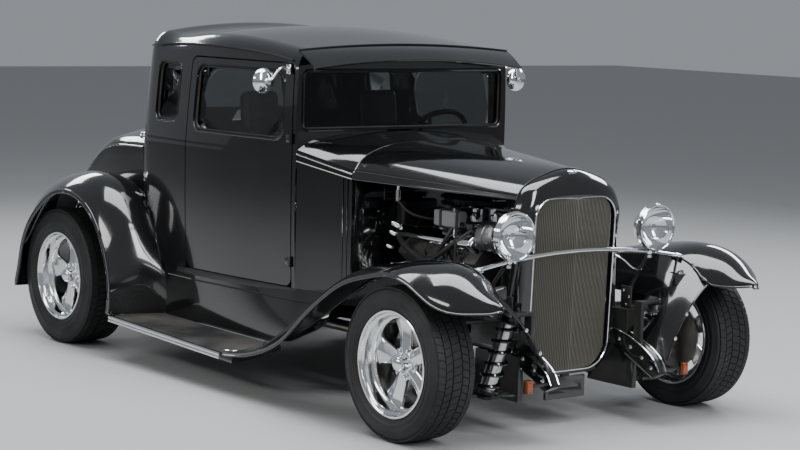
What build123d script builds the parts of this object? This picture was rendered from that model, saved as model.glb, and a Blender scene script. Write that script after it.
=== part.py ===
"""Hot rod coupe: a fendered two-seat body on rails, with an open engine bay and five-spoke wheels.

Millimetres. X points forward, Y to the car's left, Z up, with Z = 0 where the tyres stand and
X = 0 at the middle of the car's length. Stations along the car are given as distances ahead of
the front axle, as ahead(-793), because that is how such a body is measured.
"""
import os
from math import cos, radians, sin

from build123d import *

os.makedirs("parts", exist_ok=True)

# Driving dimensions
WHEELBASE = 2629
FRONT_REACH = 458
REAR_REACH = 3000
FRONT_AXLE_X = (REAR_REACH - FRONT_REACH) / 2
REAR_AXLE_X = FRONT_AXLE_X - WHEELBASE
FRONT_TYRE_R = 302
REAR_TYRE_R = 322
RIM_R = 209
FRONT_RIM_FACE_Y = 836
REAR_RIM_FACE_Y = 818
FRONT_TYRE_W = 195
REAR_TYRE_W = 225
KINGPIN_Y = 622

SILL_Z = 448
FLOOR_Z = 420
FLOOR_T = SILL_Z - FLOOR_Z
WALL = 40
FRONT_WALL = 22
DOOR_GAP = 6

FIREWALL = -793
SCREEN = -1023
DOOR_FRONT = -1050
DOOR_REAR = -1798
CAB_BACK = -2245
TAIL = -2925

RAIL_TOP = 420
RAIL_BOTTOM = 325
HORN_Y = (268, 312)

SIDES = (("right", -1), ("left", 1))


def ahead(distance):
    """X of a station that many millimetres ahead of the front axle."""
    return FRONT_AXLE_X + distance


def write(name, part):
    """Label one piece and write its file."""
    part.label = name
    export_step(part, f"parts/{name}.step")


def largest(part):
    """The biggest solid of a part, without the slivers that a cut leaves."""
    return part.solids().sort_by(SortBy.VOLUME)[-1]


def tube(points, radius):
    """Straight round bars from point to point, joined by balls of the same radius."""
    with BuildPart(mode=Mode.PRIVATE) as bars:
        for start, end in zip(points, points[1:]):
            a, b = Vector(*start), Vector(*end)
            with BuildSketch(Plane(origin=a, z_dir=b - a)):
                Circle(radius)
            extrude(amount=(b - a).length)
        for point in points[1:-1]:
            with Locations(point):
                Sphere(radius)
    return bars.part


# Body sections: half widths and heights at stations ahead of the front axle.
# columns: station, y at sill, y at belt, z at belt, y at roof edge, z at roof edge, z of roof crown
CAB_SECTIONS = (
    (SCREEN, 568, 578, 1005, 572, 1454, 1484),
    (-1300, 596, 606, 1000, 588, 1482, 1532),
    (-1770, 622, 638, 1003, 594, 1494, 1541),
    (-2110, 612, 628, 1000, 586, 1490, 1541),
    (-2200, 594, 610, 996, 568, 1476, 1527),
    (CAB_BACK, 572, 586, 990, 540, 1410, 1448),
)
ROOF_EDGE_R = 60


def cab_block(inset, front, back):
    """The cab's outline as a solid: sections through the table, moved in by the wall."""
    with BuildPart(mode=Mode.PRIVATE) as block:
        for station, y_sill, y_belt, z_belt, y_edge, z_edge, z_crown in CAB_SECTIONS:
            shift = front if station == SCREEN else back if station == CAB_BACK else 0
            with BuildSketch(Plane.YZ.offset(ahead(station) + shift)) as section:
                with BuildLine():
                    foot = (y_sill - inset, SILL_Z - inset / 4)
                    belt = (y_belt - inset, z_belt)
                    edge = (y_edge - inset, z_edge - inset)
                    Polyline((-foot[0], foot[1]), foot, belt, edge)
                    ThreePointArc(edge, (0, z_crown - inset), (-edge[0], edge[1]))
                    Polyline((-edge[0], edge[1]), (-belt[0], belt[1]), (-foot[0], foot[1]))
                make_face()
                fillet(section.vertices().sort_by(Axis.Y)[-2:], ROOF_EDGE_R - inset / 2)
        loft(ruled=True)
    return block.part


def side_prism(front, rear, bottom, top, radius, side, depth=160):
    """A rounded window or door outline in side view, pushed through one side of the cab."""
    with BuildPart(mode=Mode.PRIVATE) as prism:
        with BuildSketch(Plane.XZ.offset(-side * 500)) as outline:
            with Locations((ahead((front + rear) / 2), (top + bottom) / 2)):
                Rectangle(front - rear, top - bottom)
            if radius:
                fillet(outline.vertices(), radius)
        extrude(amount=-side * depth)
    return prism.part


CAB_SOLID = cab_block(0, 0, 0)
CAB_HOLLOW = cab_block(WALL, -FRONT_WALL, WALL)
GLASS_INSET = 16
GLASS_T = 6
GLASS_OUTER = cab_block(GLASS_INSET, -GLASS_INSET, GLASS_INSET)
GLASS_INNER = cab_block(GLASS_INSET + GLASS_T, -GLASS_INSET - GLASS_T, GLASS_INSET + GLASS_T)

DOOR_TOP = 1402
DOOR_OUTLINE = (DOOR_FRONT, DOOR_REAR, SILL_Z + DOOR_GAP, DOOR_TOP)
DOOR_WINDOW = (-1113, -1749, 1078, 1368)
QUARTER_WINDOW = (-1892, -2085, 1106, 1370)
SCREEN_HALF_W = 550
SCREEN_Z = (1119, 1380)
REAR_WINDOW_HALF_W = 300
REAR_WINDOW_Z = (1130, 1370)
QUARTER_WINDOW_R = 34
DOOR_WINDOW_R = 46

SCREEN_BLOCK = Pos(ahead(SCREEN), 0, sum(SCREEN_Z) / 2) * Box(
    4 * WALL, 2 * SCREEN_HALF_W, SCREEN_Z[1] - SCREEN_Z[0])
REAR_WINDOW_BLOCK = Pos(ahead(CAB_BACK), 0, sum(REAR_WINDOW_Z) / 2) * Box(
    4 * WALL, 2 * REAR_WINDOW_HALF_W, REAR_WINDOW_Z[1] - REAR_WINDOW_Z[0])

# Cab shell: roof, pillars, quarters and back, hollow, with its windows and doorways cut
with BuildPart() as cab_shell:
    add(CAB_SOLID)
    add(CAB_HOLLOW, mode=Mode.SUBTRACT)
    add(SCREEN_BLOCK, mode=Mode.SUBTRACT)
    add(REAR_WINDOW_BLOCK, mode=Mode.SUBTRACT)
    with Locations((ahead(SCREEN), 0, SILL_Z)):
        Box(4 * WALL, 2 * SCREEN_HALF_W, 1100, mode=Mode.SUBTRACT)
    for _, side in SIDES:
        front, rear, bottom, top = DOOR_OUTLINE
        add(side_prism(front + DOOR_GAP, rear - DOOR_GAP, bottom - 60, top + DOOR_GAP, 40, side),
            mode=Mode.SUBTRACT)
        add(side_prism(*QUARTER_WINDOW, QUARTER_WINDOW_R, side), mode=Mode.SUBTRACT)
write("cab_shell", cab_shell.part)

# Doors: the cab's own wall inside the doorway, less the gap, with the window cut
for name, side in SIDES:
    with BuildPart() as door:
        add(CAB_SOLID)
        add(CAB_HOLLOW, mode=Mode.SUBTRACT)
        add(side_prism(*DOOR_OUTLINE, 36, side), mode=Mode.INTERSECT)
        add(side_prism(*DOOR_WINDOW, DOOR_WINDOW_R, side), mode=Mode.SUBTRACT)
    write(f"door_{name}", door.part)

    with BuildPart() as door_glass:
        add(GLASS_OUTER)
        add(GLASS_INNER, mode=Mode.SUBTRACT)
        add(side_prism(*DOOR_WINDOW, DOOR_WINDOW_R, side), mode=Mode.INTERSECT)
    write(f"door_glass_{name}", door_glass.part)

# Fixed glass: windscreen, rear window and quarter windows
with BuildPart() as window_glass:
    add(GLASS_OUTER)
    add(GLASS_INNER, mode=Mode.SUBTRACT)
    with BuildPart(mode=Mode.INTERSECT):
        add(SCREEN_BLOCK)
        add(REAR_WINDOW_BLOCK)
        for _, side in SIDES:
            add(side_prism(*QUARTER_WINDOW, QUARTER_WINDOW_R, side))
write("window_glass", window_glass.part)

# Cowl and hood share one family of sections.
# columns: station, foot y, foot z, shoulder start y, z, shoulder mid y, z, shoulder end y, z, crown z
SCREEN_SECTION = (SCREEN, 578, 1008, 570, 1040, 521, 1070, 417, 1092, 1116)
COWL_SECTION = (FIREWALL, 449, 933, 440, 968, 402, 1014, 332, 1052, 1084)
HOOD_FRONT = 42
HOOD_SECTION = (HOOD_FRONT, 264, 915, 257, 934, 238, 958, 147, 1006, 1035)
HOOD_T = 8


def crowned_block(sections, inset, foot=None):
    """Solid under a crowned top, lofted through sections; foot gives a lower edge at the ground side."""
    with BuildPart(mode=Mode.PRIVATE) as block:
        for station, y0, z0, y1, z1, y2, z2, y3, z3, z4 in sections:
            with BuildSketch(Plane.YZ.offset(ahead(station))):
                with BuildLine():
                    low = (y0 - inset, z0) if foot is None else (y0 - inset - 8, foot)
                    start = (y1 - inset, z1)
                    middle = (y2 - inset * 0.75, z2 - inset * 0.75)
                    end = (y3 - inset * 0.2, z3 - inset)
                    crown = (0, z4 - inset)
                    flip = [(-y, z) for y, z in (low, start, middle, end)]
                    Line(low, start)
                    ThreePointArc(start, middle, end)
                    ThreePointArc(end, crown, flip[3])
                    ThreePointArc(flip[3], flip[2], flip[1])
                    Line(flip[1], flip[0])
                    Line(flip[0], low)
                make_face()
        loft(ruled=True)
    return block.part


COWL_T = 20
with BuildPart() as cowl:
    add(crowned_block((SCREEN_SECTION, COWL_SECTION), 0, SILL_Z))
    add(crowned_block((SCREEN_SECTION, COWL_SECTION), COWL_T, SILL_Z), mode=Mode.SUBTRACT)
    with BuildSketch(Plane.YZ.offset(ahead(FIREWALL) - 12)):
        with BuildLine():
            Polyline((-440, SILL_Z), (440, SILL_Z), (430, 968), (330, 1040))
            ThreePointArc((330, 1040), (0, 1072), (-330, 1040))
            Polyline((-330, 1040), (-430, 968), (-440, SILL_Z))
        make_face()
    extrude(amount=12)
write("cowl", cowl.part)

with BuildPart() as hood_top:
    add(crowned_block((COWL_SECTION, HOOD_SECTION), 0))
    add(crowned_block((COWL_SECTION, HOOD_SECTION), HOOD_T), mode=Mode.SUBTRACT)
    split(bisect_by=Plane.YZ.offset(ahead(FIREWALL) + 3), keep=Keep.TOP)
    split(bisect_by=Plane.YZ.offset(ahead(HOOD_FRONT) - 3), keep=Keep.BOTTOM)
write("hood_top", hood_top.part)

# Floor pan from the firewall to the tail
with BuildPart() as floor_pan:
    with BuildSketch(Plane.XY.offset(FLOOR_Z)):
        with BuildLine():
            edge = [(ahead(FIREWALL), 441), (ahead(SCREEN), 568), (ahead(DOOR_REAR), 620),
                    (ahead(CAB_BACK), 572), (ahead(-2700), 526), (ahead(TAIL), 446)]
            Polyline(*edge, *[(x, -y) for x, y in reversed(edge)], close=True)
        make_face()
    extrude(amount=FLOOR_T)
write("floor_pan", floor_pan.part)

# Rear deck: the body behind the cab.
# columns: station, y at foot, y at shoulder, z at shoulder, z of crown
DECK_SECTIONS = (
    (CAB_BACK - 1, 576, 588, 990, 1080),
    (-2480, 566, 578, 984, 1070),
    (-2620, 552, 566, 962, 1048),
    (-2700, 542, 556, 928, 1012),
    (-2800, 530, 542, 873, 950),
    (-2865, 520, 530, 831, 900),
    (TAIL, 505, 515, 785, 835),
)
DECK_T = 22
DECK_EDGE_R = 30


def deck_block(inset):
    """The deck's outline as a solid, moved in by the wall."""
    with BuildPart(mode=Mode.PRIVATE) as block:
        for station, y_foot, y_top, z_top, z_crown in DECK_SECTIONS:
            shift = inset if station == TAIL else 0
            with BuildSketch(Plane.YZ.offset(ahead(station) + shift)) as section:
                with BuildLine():
                    foot = (y_foot - inset, SILL_Z)
                    top = (y_top - inset, z_top - inset)
                    Polyline((-foot[0], foot[1]), foot, top)
                    ThreePointArc(top, (0, z_crown - inset), (-top[0], top[1]))
                    Line((-top[0], top[1]), (-foot[0], foot[1]))
                make_face()
                fillet(section.vertices().sort_by(Axis.Y)[-2:], DECK_EDGE_R)
        loft(ruled=True)
    return block.part


LID_FRONT = -2330
LID_HALF_W = 405
LID_BOTTOM = 590
DECK_SOLID = deck_block(0)
DECK_HOLLOW = deck_block(DECK_T)


def lid_box(gap):
    """The block that the deck lid is cut with."""
    with BuildPart(mode=Mode.PRIVATE) as block:
        front = ahead(LID_FRONT) + gap
        rear = ahead(TAIL) - 60
        with Locations(((front + rear) / 2, 0, LID_BOTTOM - gap + 300)):
            Box(front - rear, 2 * (LID_HALF_W + gap), 600)
        fillet(block.edges().filter_by(Axis.Z).group_by(Axis.X)[-1], 30)
    return block.part


with BuildPart() as rear_deck:
    add(DECK_SOLID)
    add(DECK_HOLLOW, mode=Mode.SUBTRACT)
    add(lid_box(DOOR_GAP), mode=Mode.SUBTRACT)
write("rear_deck", rear_deck.part)

with BuildPart() as deck_lid:
    add(DECK_SOLID)
    add(DECK_HOLLOW, mode=Mode.SUBTRACT)
    add(lid_box(0), mode=Mode.INTERSECT)
write("deck_lid", deck_lid.part)

# Visor over the windscreen
# columns: station, half width, z at the ends, z at the middle
VISOR_EDGES = ((SCREEN, 574, 1462, 1486), (-912, 570, 1392, 1428))
VISOR_T = 12
with BuildPart() as visor:
    for station, half_w, z_end, z_mid in VISOR_EDGES:
        with BuildSketch(Plane.YZ.offset(ahead(station))):
            with BuildLine():
                ThreePointArc((-half_w, z_end), (0, z_mid), (half_w, z_end))
                Line((half_w, z_end), (half_w, z_end - VISOR_T))
                ThreePointArc((half_w, z_end - VISOR_T), (0, z_mid - VISOR_T), (-half_w, z_end - VISOR_T))
                Line((-half_w, z_end - VISOR_T), (-half_w, z_end))
            make_face()
    loft(ruled=True)
write("visor", visor.part)

# Frame: two rails with dropped front horns, and crossmembers
# columns: distance ahead of the front axle, height
HORN_OUTLINE = ((-320, RAIL_TOP), (-120, 400), (54, 368), (192, 334), (269, 296), (317, 254), (340, 218),
                (300, 196), (227, 232), (137, 276), (58, 302), (-120, 322), (-320, RAIL_BOTTOM))
# columns: distance ahead of the front axle, inner y, outer y
RAIL_PLAN = ((-300, *HORN_Y), (-1100, 372, 418), (-2960, 396, 442))
# columns: distance ahead of the front axle, length along X, half width, bottom, height
CROSSMEMBERS = (
    (20, 90, 290, 300, 60),
    (-1390, 60, 390, 335, 60),
    (-2100, 60, 400, 335, 60),
    (-2945, 30, 410, 350, 60),
)
SHAFT_ARCH = (110, 380)
# columns: x, y, z, radius, length
FRONT_BOLT = (ahead(71), 80, 150, 4.5, 12)
REAR_BOLT = (ahead(-2945), 320, 380, 6.5, 30)


def frame_rail(side):
    """One rail with its dropped front horn, notched over the rear axle."""
    with BuildPart(mode=Mode.PRIVATE) as rail:
        with BuildSketch(Plane.XZ.offset(-side * HORN_Y[0])):
            with BuildLine():
                Polyline(*[(ahead(x), z) for x, z in HORN_OUTLINE], close=True)
            make_face()
        extrude(amount=-side * (HORN_Y[1] - HORN_Y[0]))
        with BuildSketch(Plane.XY.offset(RAIL_BOTTOM)):
            with BuildLine():
                inner = [(ahead(x), side * y) for x, y, _ in RAIL_PLAN]
                outer = [(ahead(x), side * y) for x, _, y in reversed(RAIL_PLAN)]
                Polyline(*inner, *outer, close=True)
            make_face()
        extrude(amount=RAIL_TOP - RAIL_BOTTOM)
        with Locations((REAR_AXLE_X, 0, RAIL_BOTTOM)):
            Box(190, 1100, 2 * 52, mode=Mode.SUBTRACT)
    return rail.part


RAIL_OF = {side: frame_rail(side) for _, side in SIDES}
for name, side in SIDES:
    write(f"frame_rail_{name}", RAIL_OF[side])

with BuildPart() as crossmembers:
    for x, length, half_w, bottom, height in CROSSMEMBERS:
        with Locations((ahead(x), 0, bottom + height / 2)):
            Box(length, 2 * half_w, height)
    with Locations((ahead(-1750), 0, SHAFT_ARCH[1] - 50)):
        Box(1000, SHAFT_ARCH[0], 100, mode=Mode.SUBTRACT)
    with Locations((ahead(71), 0, 150)):
        Box(12, 210, 90)
    with Locations((ahead(71), 0, 240)):
        Box(12, 40, 130)
    for x, y, z, radius, length in (FRONT_BOLT, REAR_BOLT):
        with Locations((x, y, z), (x, -y, z)):
            Cylinder(radius, 2 * length, rotation=(0, 90, 0), mode=Mode.SUBTRACT)
    for _, side in SIDES:
        add(RAIL_OF[side], mode=Mode.SUBTRACT)
write("crossmembers", crossmembers.part)

with BuildPart() as frame:
    add(crossmembers.part)
    for _, side in SIDES:
        add(RAIL_OF[side])

# Grille shell: painted surround, open at the front for the insert and hollow behind it
# columns: station, foot y, foot z, lower side y, z, upper side y, z, shoulder y, z, top end y, z, top z
SHELL_SECTIONS = (
    (50, 152, 214, 270, 320, 277, 876, 236, 956, 145, 1003, 1032),
    (116, 142, 205, 224, 292, 231, 815, 199, 910, 118, 955, 974),
)
# columns: station, share of the way from the back section to the front one
SHELL_ROUNDING = ((83, 0.24), (104, 0.60))
SHELL_T = 14
INSERT_HALF_W = 210
INSERT_Z = (224, 920)
INSERT_FOOT_R = 112
INSERT_TOP_R = 80
SHELL_PIVOT_Z = 860
SHELL_SETBACK = 12
SHELL_LEAN = 2.12


def shell_block(sections, inset, shift=0):
    """The grille shell's outline as a solid between its back and front sections."""
    back, front = sections
    rows = [back]
    for station, share in SHELL_ROUNDING:
        rows.append((station, *[a + (b - a) * share for a, b in zip(back[1:], front[1:])]))
    with BuildPart(mode=Mode.PRIVATE) as block:
        for station, y0, z0, y1, z1, y2, z2, y3, z3, y4, z4, z5 in (*rows, front):
            half = [(y0, z0 + inset), (y1 - inset, z1 + inset / 2), (y2 - inset, z2),
                    (y3 - inset * 0.8, z3 - inset * 0.6), (y4, z4 - inset)]
            flip = [(-y, z) for y, z in half]
            with BuildSketch(Plane.YZ.offset(ahead(station) + shift)):
                with BuildLine():
                    Polyline(flip[1], flip[0], half[0], half[1], half[2])
                    ThreePointArc(half[2], half[3], half[4])
                    ThreePointArc(half[4], (0, z5 - inset), flip[4])
                    ThreePointArc(flip[4], flip[3], flip[2])
                    Line(flip[2], flip[1])
                make_face()
        loft(ruled=True)
    return block.part


def insert_block(margin, back, front):
    """The grille opening's rounded outline pushed from one station to another."""
    low, high = INSERT_Z[0] - margin, INSERT_Z[1] + margin
    with BuildPart(mode=Mode.PRIVATE) as block:
        with BuildSketch(Plane.YZ.offset(ahead(back))) as outline:
            with Locations((0, (low + high) / 2)):
                Rectangle(2 * (INSERT_HALF_W + margin), high - low)
            fillet(outline.vertices().sort_by(Axis.Y)[:2], INSERT_FOOT_R + margin)
            fillet(outline.vertices().sort_by(Axis.Y)[-2:], INSERT_TOP_R + margin)
        extrude(amount=front - back)
    return block.part


def leaned(part):
    """The grille shell or its insert set back and leaned, its top ahead of its foot."""
    pivot = ahead(SHELL_SECTIONS[0][0])
    turn = Pos(pivot - SHELL_SETBACK, 0, SHELL_PIVOT_Z) * Rot(0, SHELL_LEAN, 0)
    return turn * Pos(-pivot, 0, -SHELL_PIVOT_Z) * part


with BuildPart() as upright_shell:
    add(shell_block(SHELL_SECTIONS, 0))
    add(shell_block(SHELL_SECTIONS, SHELL_T, -SHELL_T), mode=Mode.SUBTRACT)
    add(insert_block(0, 60, 160), mode=Mode.SUBTRACT)
with BuildPart() as grille_shell:
    add(leaned(upright_shell.part))
    add(frame.part, mode=Mode.SUBTRACT)
write("grille_shell", grille_shell.part)

# Grille insert: rim, upright bars and two bands, set in a shallow V
BAR_COUNT = 49
BAR_W = 3.6
V_DEPTH = 26
with BuildPart() as grille_insert:
    add(insert_block(0, 92, 122))
    add(insert_block(-9, 80, 140), mode=Mode.SUBTRACT)
    with BuildPart(mode=Mode.PRIVATE) as bars:
        pitch = 2 * INSERT_HALF_W / (BAR_COUNT + 1)
        for index in range(BAR_COUNT):
            y = -INSERT_HALF_W + pitch * (index + 1)
            x = ahead(98) + V_DEPTH * (1 - abs(y) / INSERT_HALF_W)
            with Locations((x, y, sum(INSERT_Z) / 2)):
                Box(14, BAR_W, INSERT_Z[1] - INSERT_Z[0])
        for z in (450, 800):
            for _, side in SIDES:
                with BuildSketch(Plane.XY.offset(z)):
                    with BuildLine():
                        tip, root = ahead(98) + V_DEPTH, ahead(98)
                        Polyline((tip - 8, 0), (root - 8, side * INSERT_HALF_W), (root, side * INSERT_HALF_W),
                                 (tip, 0), close=True)
                    make_face()
                extrude(amount=12)
        add(insert_block(-4, 70, 170), mode=Mode.INTERSECT)
    add(bars.part)
with BuildPart() as placed_insert:
    add(leaned(grille_insert.part))
    add(frame.part, mode=Mode.SUBTRACT)
write("grille_insert", placed_insert.part)

with BuildPart() as radiator:
    with Locations((ahead(8), 0, 615)):
        Box(56, 440, 510)
    with Locations((ahead(-40), 0, 580)):
        Cylinder(190, 40, rotation=(0, 90, 0))
write("radiator", radiator.part)

# Fenders: a crowned strip through upright sections, with a turned-down outer lip
FENDER_T = 8
LIP_H = 16
# columns: station, outer y, lip z, crown y, crown z, inner y, inner z
FRONT_FENDER = (
    (-1150, 846, 178, 740, 188, 606, 196),
    (-1000, 848, 196, 730, 222, 600, 250),
    (-850, 850, 236, 720, 310, 590, 330),
    (-710, 850, 304, 712, 412, 570, 424),
    (-575, 850, 412, 706, 508, 552, 512),
    (-440, 850, 510, 702, 586, 544, 580),
    (-300, 850, 588, 700, 640, 541, 622),
    (-150, 850, 632, 700, 672, 541, 642),
    (0, 850, 657, 700, 698, 541, 655),
    (125, 850, 632, 700, 708, 541, 660),
    (250, 850, 580, 695, 692, 550, 614),
    (310, 834, 562, 692, 664, 552, 566),
    (350, 808, 556, 690, 637, 588, 560),
    (420, 738, 559, 685, 598, 632, 563),
    (445, 712, 563, 683, 586, 656, 567),
    (458, 692, 569, 681, 577, 670, 571),
)
VALANCE_T = 6


def fender_strip(stations, axis_plane):
    """Loft one thin crowned strip through its stations, right side of the car."""
    with BuildPart(mode=Mode.PRIVATE) as strip:
        for station, y_lip, z_lip, y_crown, z_crown, y_in, z_in in stations:
            with BuildSketch(axis_plane(station)):
                with BuildLine():
                    Line((-y_lip, z_lip - LIP_H), (-y_lip, z_lip))
                    ThreePointArc((-y_lip, z_lip), (-y_crown, z_crown), (-y_in, z_in))
                    Line((-y_in, z_in), (-y_in, z_in - FENDER_T))
                    ThreePointArc((-y_in, z_in - FENDER_T), (-y_crown, z_crown - FENDER_T),
                                  (-y_lip + FENDER_T, z_lip - FENDER_T))
                    Polyline((-y_lip + FENDER_T, z_lip - FENDER_T), (-y_lip + FENDER_T, z_lip - LIP_H),
                             (-y_lip, z_lip - LIP_H))
                make_face()
        loft(ruled=True)
    return strip.part


def upright_plane(station):
    """Plane across the car at a station."""
    return Plane.YZ.offset(ahead(station))


# Inner wall of the front wheel house, from the fender's inner edge to the rail
# columns: station, upper y, upper z, middle y, middle z, lower y, lower z
VALANCE = (
    (-700, 566, 418, 470, 409, 373, 400),
    (-300, 543, 618, 431, 517, 318, 415),
    (0, 543, 650, 428, 517, 314, 385),
    (125, 544, 656, 416, 509, 314, 345),
    (250, 553, 610, 409, 475, 314, 302),
    (316, 562, 561, 425, 440, 320, 268),
)
with BuildPart() as front_fender:
    add(fender_strip(FRONT_FENDER, upright_plane))
    for station, y_up, z_up, y_mid, z_mid, y_low, z_low in VALANCE:
        with BuildSketch(Plane.YZ.offset(ahead(station))):
            with BuildLine():
                Polyline((-y_up, z_up), (-y_mid, z_mid), (-y_low, z_low), (-y_low + VALANCE_T, z_low),
                         (-y_mid + VALANCE_T, z_mid), (-y_up + VALANCE_T, z_up), close=True)
            make_face()
    loft(ruled=True)
    with Locations((ahead(47), -430, 455)):
        Box(334, 240, 94, mode=Mode.SUBTRACT)
fender_of = {}
for name, side in SIDES:
    with BuildPart() as fender:
        add(front_fender.part if side < 0 else mirror(front_fender.part, about=Plane.XZ))
        add(frame.part, mode=Mode.SUBTRACT)
    fender_of[side, "front"] = Part() + largest(fender.part)
    write(f"front_fender_{name}", fender_of[side, "front"])

# Rear fender stations turn about the rear axle.
# columns: angle from straight ahead, lip radius, crown radius, joint radius
REAR_FENDER = (
    (-12, 545, 560, 672),
    (0, 546, 566, 650),
    (15, 532, 574, 620),
    (30, 516, 588, 572),
    (45, 500, 590, 546),
    (60, 473, 560, 514),
    (75, 438, 510, 484),
    (90, 402, 470, 464),
    (110, 356, 445, 450),
    (135, 332, 404, 424),
    (160, 326, 358, 368),
    (180, 338, 350, 352),
    (194, 378, 384, 384),
)
REAR_LIP_Y = 858
REAR_CROWN_Y = 775
REAR_JOINT_Y = 560


def spoke_plane(angle):
    """Plane through the rear axle line: local x points to the right side, local y away from the axle."""
    normal = Vector(-sin(radians(angle)), 0, cos(radians(angle)))
    return Plane(origin=(REAR_AXLE_X, 0, REAR_TYRE_R), x_dir=(0, -1, 0), z_dir=normal)


with BuildPart() as rear_fender:
    for angle, lip, crown, joint in REAR_FENDER:
        with BuildSketch(spoke_plane(angle)):
            with BuildLine():
                lip_inner = (REAR_LIP_Y - FENDER_T, lip - FENDER_T)
                Line((REAR_LIP_Y, lip - LIP_H), (REAR_LIP_Y, lip))
                ThreePointArc((REAR_LIP_Y, lip), (REAR_CROWN_Y, crown), (REAR_JOINT_Y, joint))
                Line((REAR_JOINT_Y, joint), (REAR_JOINT_Y, joint - FENDER_T))
                ThreePointArc((REAR_JOINT_Y, joint - FENDER_T), (REAR_CROWN_Y, crown - FENDER_T), lip_inner)
                Polyline(lip_inner, (lip_inner[0], lip - LIP_H), (REAR_LIP_Y, lip - LIP_H))
            make_face()
    loft(ruled=True)
for name, side in SIDES:
    with BuildPart() as fender:
        add(rear_fender.part if side < 0 else mirror(rear_fender.part, about=Plane.XZ))
        add(CAB_SOLID, mode=Mode.SUBTRACT)
        add(DECK_SOLID, mode=Mode.SUBTRACT)
        add(floor_pan.part, mode=Mode.SUBTRACT)
    write(f"rear_fender_{name}", fender.part)
    fender_of[side, "rear"] = fender.part

# Running boards with their splash aprons
BOARD_TOP = 205
BOARD_T = 26
BOARD_FRONT = -1140
BOARD_REAR = -2085
BOARD_Y = (600, 850)
BOARD_DROP = 38
with BuildPart() as running_board:
    for x, drop in ((BOARD_REAR, 0), (BOARD_FRONT, BOARD_DROP)):
        with BuildSketch(Plane.YZ.offset(ahead(x))):
            Polygon((-BOARD_Y[0], BOARD_TOP), (-BOARD_Y[1], BOARD_TOP - drop),
                    (-BOARD_Y[1], BOARD_TOP - drop - BOARD_T), (-BOARD_Y[0], BOARD_TOP - BOARD_T), align=None)
    loft(ruled=True)
    with BuildSketch(Plane.XZ.offset(BOARD_Y[0] - 10)):
        with BuildLine():
            Polyline((ahead(-1000), BOARD_TOP + 20), (ahead(-820), 300), (ahead(-700), 400),
                     (ahead(-720), FLOOR_Z), (ahead(-2010), FLOOR_Z), (ahead(-2010), BOARD_TOP - BOARD_T),
                     (ahead(-1140), BOARD_TOP - BOARD_T), close=True)
        make_face()
    extrude(amount=10)
    for x in (-1300, -1900):
        with Locations((ahead(x), -510, BOARD_TOP - BOARD_T - 8)):
            Box(36, 200, 16)
        with Locations((ahead(x), -418, 240)):
            Box(36, 16, 180)
for name, side in SIDES:
    with BuildPart() as board:
        add(running_board.part if side < 0 else mirror(running_board.part, about=Plane.XZ))
        add(frame.part, mode=Mode.SUBTRACT)
        add(fender_of[side, "front"], mode=Mode.SUBTRACT)
        add(fender_of[side, "rear"], mode=Mode.SUBTRACT)
    write(f"running_board_{name}", board.part)

# Headlights: bowls on stems, carried by a bar with two braces
LAMP_X = ahead(187)
LAMP_Y = 379
LAMP_Z = 790
LAMP_R = 96
LAMP_DEPTH = 116
BAR_X = ahead(140)
BAR_Z = 712
BAR_END = (541, 661)
BAR_R = 9
with BuildPart() as headlights:
    with BuildLine() as bar_line:
        ThreePointArc((BAR_X, -BAR_END[0], BAR_END[1]), (BAR_X, 0, BAR_Z), (BAR_X, BAR_END[0], BAR_END[1]))
    with BuildSketch(Plane(origin=bar_line.line @ 0, z_dir=bar_line.line % 0)):
        Circle(BAR_R)
    sweep(path=bar_line.line)
    for _, side in SIDES:
        with BuildSketch(Plane(origin=(LAMP_X, side * LAMP_Y, LAMP_Z), x_dir=(1, 0, 0), z_dir=(0, -1, 0))):
            with BuildLine():
                Line((0, LAMP_R), (0, LAMP_R - 6))
                Line((0, LAMP_R - 6), (-14, LAMP_R - 6))
                ThreePointArc((-14, LAMP_R - 6), (-74, 54), (-LAMP_DEPTH + 6, 0))
                Line((-LAMP_DEPTH + 6, 0), (-LAMP_DEPTH, 0))
                ThreePointArc((-LAMP_DEPTH, 0), (-78, 60), (-16, LAMP_R))
                Line((-16, LAMP_R), (0, LAMP_R))
            make_face()
        revolve(axis=Axis((LAMP_X, side * LAMP_Y, LAMP_Z), (1, 0, 0)))
        with Locations((BAR_X, side * LAMP_Y, 704)):
            Cylinder(13, 40)
        with Locations((BAR_X, side * BAR_END[0], BAR_END[1] - 2)):
            Box(60, 34, 12)
        add(tube([(BAR_X, side * 383, 692), (ahead(66), side * 390, 587), (ahead(20), side * 372, 454)], 8))
    for _, side in SIDES:
        add(fender_of[side, "front"], mode=Mode.SUBTRACT)
write("headlights", headlights.part)

with BuildPart() as headlight_lenses:
    for _, side in SIDES:
        with BuildSketch(Plane(origin=(LAMP_X, side * LAMP_Y, LAMP_Z), x_dir=(1, 0, 0), z_dir=(0, -1, 0))):
            with BuildLine():
                Polyline((-8, 0), (-8, LAMP_R - 6), (-1, LAMP_R - 6), (5, 52), (8, 0), (-8, 0))
            make_face()
        revolve(axis=Axis((LAMP_X, side * LAMP_Y, LAMP_Z), (1, 0, 0)))
write("headlight_lenses", headlight_lenses.part)

# Small lamps
MARKER = (ahead(326), 418, 229)
TAIL_LAMP = (ahead(-2962), 500, 620)
with BuildPart() as marker_lamps:
    for _, side in SIDES:
        with Locations((MARKER[0], side * MARKER[1], MARKER[2])):
            Box(30, 28, 50)
        with Locations((MARKER[0] - 4, side * 359, MARKER[2])):
            Box(10, 94, 14)
write("marker_lamps", marker_lamps.part)

with BuildPart() as tail_lamps:
    for _, side in SIDES:
        with Locations((TAIL_LAMP[0], side * TAIL_LAMP[1], TAIL_LAMP[2])):
            Cylinder(44, 36, rotation=(0, 90, 0))
        with Locations((TAIL_LAMP[0] + 25, side * 462, TAIL_LAMP[2])):
            Box(40, 60, 24)
    add(DECK_SOLID, mode=Mode.SUBTRACT)
write("tail_lamps", tail_lamps.part)

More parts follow.
